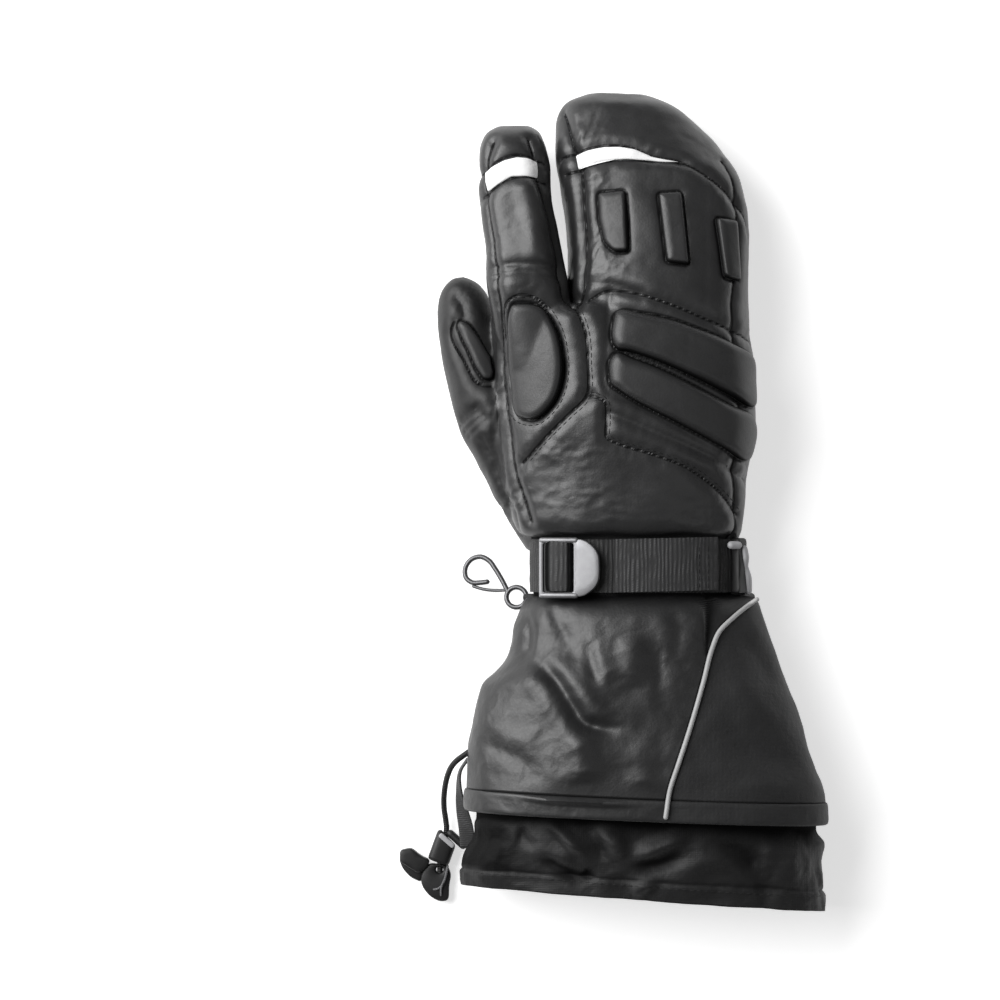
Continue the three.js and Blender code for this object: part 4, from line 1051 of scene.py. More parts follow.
OVAL_PAD = (
    (-63.6, 49), (-62.6, 51.6), (-58, 52.4), (-50.5, 51), (-43.6, 41.9), (-40.2, 29.5),
    (-40.6, 16), (-44, 7.4), (-53.5, -0.2), (-59, 1), (-62.6, 15.5), (-64, 34),
)
SEAMS = (
    # Along the thumb side of the index finger and of the hand's back
    Seam(((-71.5, 126), (-74.3, 117.4), (-73.3, 92.4), (-70.2, 70.5), (-68.7, 54.8), (-67.8, 42.3),
          (-67.1, 20.5), (-63.9, -5.5), (-59.7, -29.6), (-54.5, -46)), 1.6, 1.8, 0.3, 0.8),
    # Round the crotch, from the lobe's left side to the index finger's right side
    Seam(((-39.2, 139.5), (-35.7, 127.9), (-33.7, 120.6), (-31.5, 112.4), (-30.3, 96.6), (-30, 65.2),
          (-31.2, 54.8), (-33.7, 50.6), (-37.6, 52), (-41, 61.5), (-43, 75.7), (-46.1, 91.5),
          (-50.5, 105.1), (-51.9, 117.4), (-55, 127)), 1.8, 1.8, 0.3, 0.8),
    # Above and below the index finger's band
    Seam(((-77.2, 110.6), (-71.6, 115.6), (-61, 120), (-52.4, 118.4), (-48.6, 116.2)), 1.1, 1.4, 0.15),
    Seam(((-75.6, 100.6), (-73, 102.4), (-63.2, 108.9), (-51.4, 108.4), (-47.6, 106.4)), 1, 1.4, 0.15),
    # Above and below the lobe's band, and on down the little finger's side
    Seam(((-40, 118.6), (-33.7, 120.8), (-21.1, 124.1), (-10.6, 123.6), (0.9, 119.4), (13.4, 116.8),
          (18.7, 114.2), (26.8, 109.2), (35.3, 101.9), (41.4, 94.6), (44.6, 81), (45.4, 66),
          (45.6, 52)), 1.2, 1.7, 0.3),
    Seam(((-38, 111), (-32.1, 113.1), (-21.1, 116.7), (-10.6, 117.5), (2, 117), (13.4, 116.4)),
         1, 1.5, 0.2),
    # Bends over the knuckles
    Seam(((-72, 68.4), (-60, 70.4), (-50, 69.6), (-44, 68)), 1.1, 1.3, 0.1, crisp=False),
    Seam(((-71, 64.2), (-60, 66.2), (-50, 65.6), (-42.5, 63.6)), 0.7, 1.2, 0.1, crisp=False),
    Seam(((-29.5, 60.6), (-22, 61.6), (-14, 60.2), (-6, 57)), 0.7, 1.8, 0.1, crisp=False),
    # The index finger's crest, right of its middle
    Seam(((-56.5, 104), (-54.4, 97), (-52.4, 84), (-51.4, 74)), -2.6, 6.5, 0, 0, crisp=False),
    # Round the index knuckle's pad
    Seam(OVAL_PAD, 0.9, 1.6, 0.2, 0.2, closed=True),
    Seam(((-66, 36), (-64.8, 53), (-61, 55.6), (-52, 54.6), (-46.5, 50.5)), 0.5, 0.9, 0.1, 0.1),
    Seam(((-33.7, 49.8), (-30, 39.4), (-28.9, 25), (-29.6, 10.1), (-37.8, 1.8), (-48.2, -8.6),
          (-57.8, -19.6)), 1.4, 1.7, 0.3, stitch=(1.8,)),
    # Above, beside and below the knuckle bars
    Seam(((-29.5, 52.5), (-20, 57.8), (-11.1, 57.3), (7.7, 51.9), (25, 45), (43.2, 37.3),
          (48, 34.8)), 1.5, 1.8, 0.15),
    Seam(((-19, 56.5), (-19.8, 44), (-20.4, 30), (-21.4, 16), (-20, 12.4), (-8, 7.4),
          (10, -3), (28, -12.6), (45, -21)), 0.9, 1.6, 0.1, 0.1, crisp=False),
    Seam(((-28.7, 10.9), (-24.5, 9.6), (-21.6, 8), (-20.4, 0), (-20.2, -8.6), (-14, -11.6),
          (-2.7, -15), (18.2, -23.2), (32.8, -34.6), (39.6, -42.8)), 1.2, 1.7, 0.3, stitch=(1.7,)),
    Seam(((-19, 3), (-6.4, -2.5), (14.6, -11.4), (35.5, -21.8), (44, -28)), 1.4, 2, 0.2,
         crisp=False),
    # Thumb: the border of its pad, the joint's creases and the tip's seam
    Seam(((-89.4, 44.6), (-90.6, 41.6), (-84.6, 26.4), (-77.4, 16), (-72.4, 15.2)), 0.9, 1.2, 0.15),
    Seam(((-85.6, 1.2), (-82.4, 3.6), (-78.6, 6)), 0.9, 1.1, 0.05, 0.3, crisp=False),
    Seam(((-86.2, -2.6), (-82, 1.4), (-77.4, 4)), 1.1, 1.1, 0.05, 0.3, crisp=False),
    Seam(((-84, -5.2), (-79.6, -0.8), (-75.4, 2.2)), 1, 1.1, 0.05, 0.3, crisp=False),
    Seam(((-81.6, -7.4), (-77.8, -3.4), (-74.6, -0.2)), 0.8, 1.1, 0.05, 0.3, crisp=False),
    Seam(((-76, -8.2), (-72.1, -16.7), (-66.1, -32), (-61.9, -39.6), (-59.5, -48)), 0.9, 1.6, 0.1,
         crisp=False),
    Seam(((-71, -1), (-70.4, -12.4), (-66.4, -26)), 0.7, 1.5, 0.1, crisp=False),
    Seam(((-88.5, 56.5), (-85.6, 52.4), (-84.4, 47.4)), 1.2, 1.8, 0.1, crisp=False),
    # Palm: the heel patch's border, folds under the fingers and thumb, and the side strip
    Seam(((-29.5, 10), (-26, 25), (0, 24.6), (28, 22.4), (36.5, 12), (36.6, -24),
          (26, -41), (16, -46.4), (-24, -46.6), (-29.4, -40)), 0.7, 1.4, 0.15, 0.2, Side.PALM, True),
    Seam(((-40, 52), (-25, 56.5), (0, 58), (25, 55), (42, 48)), 1.8, 2.4, 0.2,
         1, Side.PALM, crisp=False),
    Seam(((-74, 60), (-56, 66), (-40, 63)), 1.3, 1.9, 0.2, 0.6, Side.PALM, crisp=False),
    Seam(((-44, 50), (-43, 24), (-46, 2), (-52, -20)), 1.2, 1.7, 0.3, 0.5, Side.PALM,
         stitch=(1.8,)),
    Seam(((-36, 40), (-12, 35), (16, 34), (34, 30)), 0.9, 1.6, 0.3, 0.4, Side.PALM,
         stitch=(-1.8,)),
)


@dataclass(frozen=True)
class Crumple:
    """A patch of leather drawn into fine creases."""

    x: float
    y: float
    long: float
    wide: float
    turn: float
    pitch: float
    height: float


CRUMPLES = (
    Crumple(-30, 130, 12, 6, 60, 4.5, 1),
    Crumple(-26, 108, 9, 5, 10, 3.4, 0.8),
    Crumple(-25, 78, 12, 7, 75, 4, 1),
    Crumple(-19, 69, 10, 5, 28, 4, 1.2),
    Crumple(-64, 84, 10, 7, 20, 3.4, 0.5),
    Crumple(-57, 58, 10, 5, 0, 3.6, 0.6),
    Crumple(-24, 56, 6, 4, 0, 3, 0.7),
    Crumple(-40, -16, 16, 8, 5, 4.4, 0.8),
    Crumple(-28, -36, 26, 10, 0, 5.5, 0.9),
    Crumple(20, -44, 24, 6, -4, 5, 0.8),
    Crumple(-69, 2, 22, 5, 85, 5, 1.2),
    Crumple(-84, 57, 7, 5, 60, 3.6, 0.9),
    Crumple(-62, -34, 16, 7, 70, 5, 1.2),
)


class Ground:
    """A surface that other pieces are laid on."""

    def __init__(self, form: Form) -> None:
        """Keep the surface's normals and its search tree.

        Args:
            form: the surface.
        """
        self.form = form
        self.normals = form.normals()
        self.tree = BVHTree.FromPolygons(form.points.tolist(), form.faces.tolist())

    def gaps(self, points: Array) -> Array:
        """Distances of some points to the surface."""
        return np.array([self.tree.find_nearest(Vector(point))[3] for point in points])

    def turned(self, index: Array) -> Array:
        """Smooth normals of some faces."""
        mean = self.normals[self.form.faces[index]].mean(axis=1)
        return unit(mean)

    def fallen(self, places: Array, side: Side = Side.BACK) -> tuple[Array, Array]:
        """Where points dropped on the surface come to rest. Those beside it cling to its nearest place.

        Args:
            places: n by 2 or more; only x and y count.
            side: from which side they are dropped.

        Returns:
            the places and their normals.
        """
        way, index, spots = Vector((0, 0, side.value)), [], []
        level = float(np.median(self.form.points[:, 2]))
        for x, y in places[:, :2]:
            spot, _, face, _ = self.tree.ray_cast(Vector((x, y, -side.value * 300)), way)
            if spot is None:
                height = spots[-1][2] if spots else level
                spot, _, face, _ = self.tree.find_nearest(Vector((x, y, height)))
            spots.append(spot)
            index.append(face)
        return np.array(spots), self.turned(np.array(index))


def offset(line: Array, distance: float) -> Array:
    """A line moved to its left by a distance, seen from above."""
    way = np.gradient(line[:, :2], axis=0)
    way /= np.maximum(np.linalg.norm(way, axis=1, keepdims=True), 1e-9)
    return line[:, :2] + distance * np.stack([-way[:, 1], way[:, 0]], axis=1)


@dataclass
class Stitching:
    """Rows of thread laid on the mitt, all as one piece."""

    length: float = 2.3
    pitch: float = 3.3
    radius: float = 0.22
    rods: list[Form] = field(default_factory=list)

    def sew(self, ground: Ground, line: Array, side: Side = Side.BACK) -> None:
        """Add a row of stitches.

        Args:
            ground: the surface to sew on.
            line: the row seen from above.
            side: from which side the row is sewn on.
        """
        spots, normals = ground.fallen(even_line(line, self.pitch / 4), side)
        self.sew_at(spots, normals)

    def sew_at(self, spots: Array, normals: Array) -> None:
        """Add a row of stitches along points on a surface with their normals."""
        run = run_of(spots)
        sunk = (-0.45, 0.1, 0.22, 0.1, -0.45)
        for start in np.arange(0.5, run[-1] - self.length, self.pitch):
            along = start + self.length * np.linspace(0, 1, len(sunk))
            pick = [np.interp(along, run, spots[:, k]) for k in range(3)]
            lift = [np.interp(along, run, normals[:, k]) for k in range(3)]
            rise = np.stack(lift, axis=1) * np.reshape(sunk, (-1, 1)) * self.radius * 2
            line = np.stack(pick, axis=1) + rise
            self.rods.append(rod(line, self.radius, 6, up=lift_of(lift)))

    def made(self, finish: bpy.types.Material) -> None:
        """Build all the stitches."""
        settle(joined(self.rods).made("stitches", finish), "leather")


def lift_of(lift: Sequence[Array]) -> Array:
    """The middle of a stitch's upward directions."""
    return np.array([float(np.mean(part)) for part in lift])


@dataclass
class Hand:
    """The padded hand: back panel, palm panel and thumb, cut from one skin."""

    finish: bpy.types.Material
    thumb_finish: bpy.types.Material
    voxel: float = 1.12
    relax: int = 7
    wall: float = 2.0
    thumb: Thumb = field(default_factory=Thumb)

    def tubes(self) -> list[Form]:
        """Palm, lobe, index finger and thumb as overlapping closed tubes."""
        columns = 120
        turns = np.arange(columns) / columns
        rows = (
            PALM.surface(np.arange(STRAP_Y, CROTCH_Y + 0.5, 1.0), turns),
            LOBE.surface(np.linspace(LOBE.rows[0, 0], LOBE.rows[-1, 0], 130), turns),
            INDEX.surface(np.linspace(INDEX.rows[0, 0], INDEX.rows[-1, 0], 120), turns),
        )
        return [*(capped(tube, columns) for tube in rows), self.thumb.form()]

    def fused(self) -> Form:
        """The tubes as one even skin with soft inner corners."""
        bare = bpy.data.materials.new("bare")
        piece = joined(self.tubes()).made("hand_raw", bare)
        change = piece.modifiers.new("skin", "REMESH")
        change.mode = "VOXEL"
        change.voxel_size = self.voxel * MM
        graph = bpy.context.evaluated_depsgraph_get()
        mesh = bpy.data.meshes.new_from_object(piece.evaluated_get(graph))
        points, corners = np.empty(3 * len(mesh.vertices)), np.empty(len(mesh.loops), int)
        mesh.vertices.foreach_get("co", points)
        mesh.loops.foreach_get("vertex_index", corners)
        rough = piece.data
        bpy.data.objects.remove(piece)
        bpy.data.meshes.remove(rough)
        bpy.data.meshes.remove(mesh)
        bpy.data.materials.remove(bare)
        return Form(points.reshape(-1, 3) / MM, corners.reshape(-1, 4)).smoothed(self.relax)

    def side_gap(self, points: Array) -> Array:
        """Distance to the seam that runs round the hand between back and palm."""
        away = np.abs(points[:, 2] - side_level(points[:, 1]))
        away += 20 * np.clip((27 - points[:, 0]) / 8, 0, 1)
        away += 20 * np.clip((points[:, 1] - 118) / 10, 0, 1)
        return np.minimum(away, 20.0)

    def build(self, stitching: Stitching) -> tuple[Ground, Ground]:
        """Make the skin with its seams and creases, and its three pieces.

        Args:
            stitching: takes the seams' stitches.

        Returns:
            the smooth skin that pads are laid on, and the finished one.
        """
        skin = self.fused()
        core = Ground(Form(skin.points.copy(), skin.faces))
        noise = Noise(5)
        # crisp becomes the seam mark, which paints shade into the grooves of the side seam, the sewn
        # seams and the pads' outlines
        crisp = self.side_gap(skin.points)
        relief = 0.4 * swell(crisp) - 1.1 * np.exp(-crisp / 1.6)
        lines = []
        for number, seam in enumerate(SEAMS):
            flat = smooth_line(seam.points, 1.2, seam.closed)
            line, _ = core.fallen(flat, seam.side)
            lines.append(flat)
            gap, run = distance_along(skin.points, line, 14.0)
            near = gap < 14
            shape = np.exp(-((gap / seam.width) ** (2 if seam.depth < 0 else 1)))
            relief -= near * (seam.depth * shape - seam.pillow * swell(gap))
            wave = noise(np.stack([run / 3.4, gap / 10, np.full_like(gap, 7.7 * number)], axis=1))
            relief += seam.pucker * wave * near * np.exp(-(((gap - 2.4) / 2.6) ** 2))
            if seam.crisp:
                crisp = np.minimum(crisp, gap)
        for pad in (*BARS, *RIBS, KNUCKLE, THUMB_PAD):
            line, _ = core.fallen(pad.rim(160), pad.side)
            gap, _ = distance_along(skin.points, line, 8.0)
            relief -= 0.9 * np.exp(-gap / 1.3)
            # painted shade round each pad's foot
            crisp = np.minimum(crisp, 0.12 + 0.55 * gap)
        relief += self.unevenness(skin.points, noise)
        skin.pushed(relief)
        skin.points[:, 2] = np.maximum(skin.points[:, 2], REST)
        skin.marks["seam"] = crisp
        ground = Ground(skin)
        for seam, line in zip(SEAMS, lines):
            for away in seam.stitch:
                stitching.sew(ground, offset(line, away), seam.side)
        self.cut(skin)
        return core, ground

    def unevenness(self, points: Array, noise: Noise) -> Array:
        """Height of soft dents, fine creases and crumpled patches."""
        flat = np.clip((points[:, 2] - REST) / 6, 0, 1)
        total = 0.7 * noise.layered(points / 26, 2) + 0.12 * noise.layered(points / 9, 2)
        total -= 0.1 * noise.creased(points / 7 + 3, 3) - 0.04
        for k, patch in enumerate(CRUMPLES):
            turn = math.radians(patch.turn)
            dx, dy = points[:, 0] - patch.x, points[:, 1] - patch.y
            u = dx * math.cos(turn) + dy * math.sin(turn)
            v = dy * math.cos(turn) - dx * math.sin(turn)
            share = np.exp(-((u / patch.long) ** 2) - (v / patch.wide) ** 2) * (points[:, 2] > 16)
            cell = [u / (2.6 * patch.pitch), v / patch.pitch, points[:, 2] / 12 + 5 * k]
            cell = np.stack(cell, axis=1)
            total -= patch.height * share * (noise.creased(cell, 3) - 0.35)
        return total * flat

    def cut(self, skin: Form) -> None:
        """Cut the skin into its pieces and build them."""
        tubes = self.tubes()
        middles = skin.points[skin.faces].mean(axis=1)
        low = middles[:, 1] > WRIST_Y
        reach = (middles[:, 0] < -38) & low & (middles[:, 1] < 75) & (middles[:, 2] < 42)
        hand = Ground(joined(tubes[:3]))
        thumb = Ground(tubes[3])
        near = np.zeros(len(middles), bool)
        near[reach] = thumb.gaps(middles[reach]) < hand.gaps(middles[reach])
        above = middles[:, 2] > side_level(middles[:, 1])
        for name, chosen in (
            ("hand_back", above & ~near),
            ("hand_palm", ~above & ~near),
            ("thumb_shell", near),
        ):
            finish = self.thumb_finish if chosen is near else self.finish
            piece = skin.part(chosen).walled(self.wall).made(name + "_skin", finish)
            settle(piece, "leather", name)


def swell(gap: Array) -> Array:
    """How far leather beside a seam swells up, by its distance: nothing at 0 and beyond 14 mm."""
    return np.clip(gap / 5, 0, 1) * np.clip((14 - gap) / 9, 0, 1)


def side_level(y: Array) -> Array:
    """Height of the seam between back and palm at some y."""
    rows = (
        (CUFF_Y, 0.66 * HAND_DEPTH),
        (WRIST_Y, 0.66 * HAND_DEPTH),
        (WRIST_Y + 0.3 * HAND_LENGTH, 0.76 * HAND_DEPTH),
        (CROTCH_Y, 0.78 * HAND_DEPTH),
        (CROTCH_Y + 0.4 * LOBE_LENGTH, 0.69 * LOBE_DEPTH),
        (CROTCH_Y + 0.75 * LOBE_LENGTH, 0.54 * LOBE_DEPTH),
        (CROTCH_Y + LOBE_LENGTH, 0.42 * LOBE_DEPTH),
    )
    return np.interp(y, [row[0] for row in rows], [row[1] for row in rows])


def ring(outline: Sequence[Sequence[float]], count: int, rounded: bool = True) -> Array:
    """A closed outline as evenly spaced points, without the repeated last one.

    Args:
        outline: its corners.
        count: number of points.
        rounded: whether a smooth curve runs through the corners.

    Returns:
        count points.
    """
    line = np.asarray(outline, float)
    line = smooth_line(line, 0.3, True) if rounded else np.concatenate([line, line[:1]])
    size = length_of(line)
    return even_line(line, size / count)[:-1]


def tube_of(rows: Sequence[Array]) -> Form:
    """A closed body through rings that all hold the same even number of points."""
    count = len(rows[0])
    form = Form(np.concatenate(rows), grid_faces(len(rows), count, True)[:, ::-1])
    return capped(form, count).outward()


@dataclass(frozen=True)
class Pad:
    """A padded piece or a band sewn on the hand."""

    name: str
    outline: tuple[tuple[float, float], ...]
    height: float
    edge: float  # width of the rounded border
    steep: float = 2.2
    uneven: float = 0.15
    sunk: float = 0.9
    side: Side = Side.BACK
    corner: float = 0.0  # radius at the outline's corners; 0 for a smooth curve through them
    soft: float = 0.0  # width of the border where it faces the upper left
    taper: float = 0.0  # share of the height that is lost towards the right end
    grooves: tuple[tuple[tuple[float, float], ...], ...] = ()
    count: int = 200
    rings: int = 24

    def form(self, ground: Ground, noise: Noise) -> Form:
        """The pad as a closed body.

        Args:
            ground: the surface that it is sewn on.
            noise: gives its unevenness.

        Returns:
            the body, with its distance from its rim and grooves as a seam mark, which paints shade
            there.
        """
        rim = self.rim(self.count)
        centre = rim.mean(axis=0)
        shares = (np.arange(self.rings) / self.rings) ** 1.6
        flat = np.concatenate([rim + share * (centre - rim) for share in shares])
        spots, normals = ground.fallen(flat, self.side)
        sheet = Form(spots, grid_faces(self.rings, self.count, True))
        spots = sheet.averaged(spots, 3)
        normals = unit(sheet.averaged(normals, 8))
        edge = np.concatenate([rim, rim[:1]])
        gap, _ = distance_along(flat, edge, 60.0)
        inward, _ = distance_along(flat, edge, 60.0, self.borders(rim))
        inward = np.minimum(inward, 1.0)
        height = self.height * (1 - (1 - inward) ** self.steep) ** (1 / self.steep)
        right = rim[:, 0].max()
        height *= 1 - self.taper * np.clip((flat[:, 0] - right + 14) / 14, 0, 1) ** 1.5
        height += self.uneven * inward * noise.layered(flat_to_cells(flat, 9.0), 3)
        # painted shade at the rim, where the pad meets the skin
        seam = 0.1 + 0.8 * gap
        for line in self.grooves:
            away, _ = distance_along(flat, smooth_line(line, 1.0), 12.0)
            height -= inward * (1.1 * np.exp(-((away / 1.1) ** 2)) - 0.5 * swell(away))
            # painted shade in the pad's grooves
            seam = np.minimum(seam, away)
        top = spots + normals * height[:, None]
        low = spots - normals * self.sunk
        if self.side is Side.PALM:
            top[:, 2] = np.maximum(top[:, 2], 0.0)
        rows = [*np.split(low, self.rings)[::-1], *np.split(top, self.rings)]
        body = tube_of(rows)
        marks = np.concatenate([np.full(len(low), OFF_SEAM), seam, [OFF_SEAM] * 2])
        return Form(body.points, body.faces, {"seam": marks})

    def rim(self, count: int) -> Array:
        """The outline as evenly spaced points."""
        if not self.corner:
            return ring(self.outline, count)
        return ring(cornered([(x, y, self.corner) for x, y in self.outline]), count, False)

    def borders(self, rim: Array) -> Array:
        """Width of the border along each step of the rim."""
        way = np.roll(rim, -1, axis=0) - rim
        out = np.stack([way[:, 1], -way[:, 0]], axis=1)
        out *= np.sign(np.einsum("ij,ij->i", out, rim - rim.mean(axis=0)).sum())
        facing = out @ np.array([-0.8, 0.6]) / np.maximum(np.linalg.norm(out, axis=1), 1e-9)
        wide = max(self.soft, self.edge)
        sizes = self.edge + (wide - self.edge) * np.clip(1.6 * facing, 0, 1)
        ends = np.concatenate([sizes[-8:], sizes, sizes[:8]])
        return np.convolve(ends, np.ones(17) / 17, "valid")


def flat_to_cells(points: Array, pitch: float) -> Array:
    """Points seen from above as places in a noise with cells of a size."""
    return np.concatenate([points[:, :2] / pitch, np.full((len(points), 1), 3.3)], axis=1)


BARS = (
    Pad("knuckle_bar_upper", (
        (-17.6, 44.5), (-16.8, 47.4), (-14, 48.6), (-4, 47.6), (7.7, 45.4), (18.5, 41.8), (28.7, 37.8),
        (38, 33.2), (45.6, 28.8), (47.4, 17), (46.8, 5.8), (34.5, 11.2), (21.6, 17.6), (11, 22.5),
        (0.7, 26.7), (-9, 29.9), (-16.6, 32), (-17.9, 34.5)), 5.4, 3.4, soft=7.5, taper=0.6),
    Pad("knuckle_bar_lower", (
        (-18.6, 27.6), (-16.5, 29.8), (-8, 27.2), (0.7, 24), (11, 19.2), (21.6, 13.7), (34, 7),
        (46.4, 0.4), (47.8, -4.5), (46.4, -12.6), (43.4, -18.2), (32, -12.8), (21.6, -7.2), (11, -1.6),
        (0.7, 3.6), (-8, 8.2), (-14.6, 12.4), (-18.6, 15.5), (-19.6, 20)),
        5.4, 3.4, soft=7.5, taper=0.6),
)
RIBS = (
    Pad("finger_rib_1", (
        (-24, 102.6), (-11.4, 103.6), (-10, 75.4), (-16.6, 75.2), (-21, 79.6), (-23.3, 89.4)),
        2.9, 1.9, corner=2.2, soft=4.6, count=160, rings=20),
    Pad("finger_rib_2", (
        (2.8, 102.4), (13.8, 103), (16.9, 69.4), (6.6, 70.6)),
        2.9, 1.9, corner=2, soft=4.2, count=160, rings=20),
    Pad("finger_rib_3", (
        (29, 91.4), (38.6, 90.4), (40, 62.4), (32.8, 64.2)),
        2.6, 1.8, corner=1.8, soft=3.6, count=160, rings=20),
)
KNUCKLE = Pad("index_knuckle_pad", OVAL_PAD, 3.4, 3.6, 2.2, 0.1, soft=4.2)
THUMB_PAD = Pad("thumb_pad", (
    (-87.6, 43.4), (-86.4, 45.2), (-83.4, 44.4), (-79, 39.2), (-75.2, 32.4), (-72, 26.4), (-71, 21),
    (-72.2, 18.4), (-75.2, 18.2), (-78.4, 22), (-82.4, 30.6), (-86.2, 39)), 2.6, 2.2, 2, 0.12,
    soft=3, count=140, rings=16)
HEEL = Pad("palm_heel_patch", (
    (-26.6, 9), (-22.6, 23), (28, 20.6), (34, 10), (34.2, -24), (26.8, -39), (15.8, -44),
    (-23.6, -44.2), (-27.2, -38.8)), 1.5, 1.6, 2, 0.15, 0.9, Side.PALM, grooves=(
    ((-24, 6), (-4, 4), (14, 6), (31, 4)),
    ((-24, -12), (-4, -14), (14, -12), (31, -14)),
    ((-24, -29), (-4, -31), (12, -29), (28, -31))), count=220, rings=40)
INDEX_BAND = Pad("index_reflector", (
    (-73.6, 103.2), (-74.8, 108), (-75, 112.4), (-71.2, 114.8), (-66.4, 117.3), (-60.6, 118.8),
    (-56, 118.4), (-51.4, 117), (-51, 113), (-51.2, 109.4), (-56.6, 110.2), (-63.2, 109.9),
    (-68.8, 106.6)), 0.5, 0.6, 2, 0, 0.9, corner=0.5, count=160, rings=14)
LOBE_BAND = Pad("lobe_reflector", (
    (-32.8, 113.4), (-33.4, 117), (-34, 120), (-28, 122.2), (-21.1, 123.5), (-14, 123.5),
    (-7, 122.4), (0.9, 118.9), (7, 117.7), (13.2, 116.7), (6, 116.6), (-2, 117.3), (-10.6, 117.9),
    (-17, 117.6), (-24, 116.5), (-29, 115)), 0.5, 0.6, 2, 0, 0.9, corner=0.3, count=220,
    rings=14)


@dataclass
class Pads:
    """All pads and bands of the hand."""

    finishes: Finishes
    stitching: Stitching
    noise: Noise = field(default_factory=lambda: Noise(11))

    def build(self, core: Ground, skin: Ground) -> None:
        """Make every pad on the smooth core and every band on the finished skin.

        Args:
            core: the smooth skin.
            skin: the finished skin.
        """
        for pad in (*BARS, *RIBS, KNUCKLE, THUMB_PAD, HEEL):
            form = pad.form(core, self.noise)
            finish = self.finishes.leather if pad is HEEL else self.finishes.pad_leather
            piece = form.made(pad.name + "_piece", finish)
            settle(piece, "pad_leather", pad.name)
            if pad is HEEL:
                self.border(pad, Ground(form))
        for band in (INDEX_BAND, LOBE_BAND):
            piece = band.form(skin, self.noise).made(band.name + "_tape", self.finishes.white_tape, 50)
            settle(piece, "reflective_white", band.name)
        self.stitching.sew(skin, offset(smooth_line(KNUCKLE.outline, 1.0, True), 2.6), KNUCKLE.side)

    def border(self, pad: Pad, ground: Ground) -> None:
        """Sew two rows inside a pad's border."""
        rim = smooth_line(pad.outline, 1.0, True)
        centre = rim.mean(axis=0)
        for inset in (2.4, 4.4):
            reach = np.linalg.norm(rim - centre, axis=1, keepdims=True)
            self.stitching.sew(ground, rim + (centre - rim) * inset / reach, pad.side)


@dataclass
class Bellows:
    """Pleated leather on the outer side of the thumb's root."""

    finish: bpy.types.Material
    start: Array = field(default_factory=lambda: np.array([-46.0, -46.0, 16.0]))
    end: Array = field(default_factory=lambda: np.array([-60.0, 6.0, 16.0]))
    low: float = -72.0
    high: float = -9.0
    ribs: int = 14
    height: float = 1.9

    def build(self, core: Ground) -> None:
        """Lay the pleats on the smooth core.

        Args:
            core: the surface under them.
        """
        rows, columns = self.ribs * 10 + 1, 60
        axis = self.end - self.start
        way = axis / np.linalg.norm(axis)
        out = np.cross([0, 0, 1], way)
        spots = np.empty((rows * columns, 3))
        place = [(u, v) for u in np.linspace(0, 1, rows) for v in np.linspace(0, 1, columns)]
        index = []
        for k, (u, v) in enumerate(place):
            turn = math.radians(self.low + v * (self.high - self.low))
            line = math.cos(turn) * out + math.sin(turn) * np.array([0, 0, 1])
            origin = self.start + u * axis
            spot, _, face, _ = core.tree.ray_cast(Vector(origin + 90 * line), Vector(-line))
            spots[k] = spot
            index.append(face)
        normals = core.turned(np.array(index))
        grid = Form(spots, grid_faces(rows, columns))
        spots = grid.averaged(spots, 4)
        normals = unit(grid.averaged(normals, 12))
        u, v = np.array(place).T
        noise = Noise(21)
        bend = 0.16 * noise(np.stack([u * 5, v * 2, 0 * u], axis=1)) + 0.08 * (v - 0.5) ** 2
        phase = (u + bend / self.ribs) * self.ribs
        rib = np.abs(np.sin(np.pi * phase)) ** 0.62
        ends = np.clip(np.minimum(v, 1 - v) / 0.16, 0, 1) * np.clip(np.minimum(u, 1 - u) / 0.02, 0, 1)
        size = self.height * (1 + 0.18 * noise(np.stack([u * 9, v * 5, 2 + 0 * u], axis=1)))
        lift = 0.2 + size * rib * ends ** 0.7
        top = spots + normals * lift[:, None]
        top[:, 2] = np.maximum(top[:, 2], 0.6)
        # the seam mark paints shade into the valleys between the pleats and at their ends
        marks = {"seam": 0.25 + 2.2 * rib * ends}
        form = Form(top, grid.faces, marks).backed(spots - normals * 0.9).outward()
        settle(form.made("thumb_bellows_pleats", self.finish), "leather", "thumb_bellows")


@dataclass
class Gather:
    """Leather drawn into pleats under the wrist."""

    finish: bpy.types.Material
    pleats: int = 14
    depth: float = 2.4

    def build(self) -> None:
        """Make the pleats."""
        ys = np.linspace(STRAP_Y - 11.4, STRAP_Y + 11.4, 48)
        u = np.linspace(0, 1, self.pleats * 12 + 1)
        form = PALM.surface(ys, 0.515 + 0.47 * u, 0.5)
        across = np.repeat((ys - STRAP_Y) / 11.4, len(u))
        around = np.tile(u, len(ys))
        noise = Noise(31)
        wave = 0.12 * noise(np.stack([across * 2, around * 12, 0 * across], axis=1))
        fold = np.abs(np.sin(np.pi * (around * self.pleats + wave))) ** 0.7
        rows = np.abs(np.sin(np.pi * (across * 0.98 + 1))) ** 0.5
        form.pushed(self.depth * fold * (0.25 + 0.75 * rows))
        # the seam mark paints shade into the valleys between the pleats
        form.marks = {"seam": 0.3 + 2 * fold}
        form.points[:, 2] = np.maximum(form.points[:, 2], 0.3)
        piece = form.walled(0.9).outward().made("wrist_gather_pleats", self.finish)
        settle(piece, "leather", "wrist_gather")


@dataclass(frozen=True)
class Fold:
    """A ridge or, with a negative height, a valley in a skin, seen from above."""

    points: tuple[tuple[float, float], ...]
    height: float
    width: float
    over: float = 25.0  # only where the skin lies above this height

    def relief(self, points: Array) -> Array:
        """Its height at some points, faded at the line's ends.

        Args:
            points: n by 3.

        Returns:
            n heights.
        """
        line = smooth_line(self.points, 1.5)
        gap, run = distance_along(points[:, :2], line, 4 * self.width)
        total = length_of(line)
        fade = np.clip(np.minimum(run, total - run) / (0.3 * total) + 0.15, 0, 1)
        above = np.clip((points[:, 2] - self.over) / 5, 0, 1)
        return self.height * fade * above * np.exp(-((gap / self.width) ** 2))


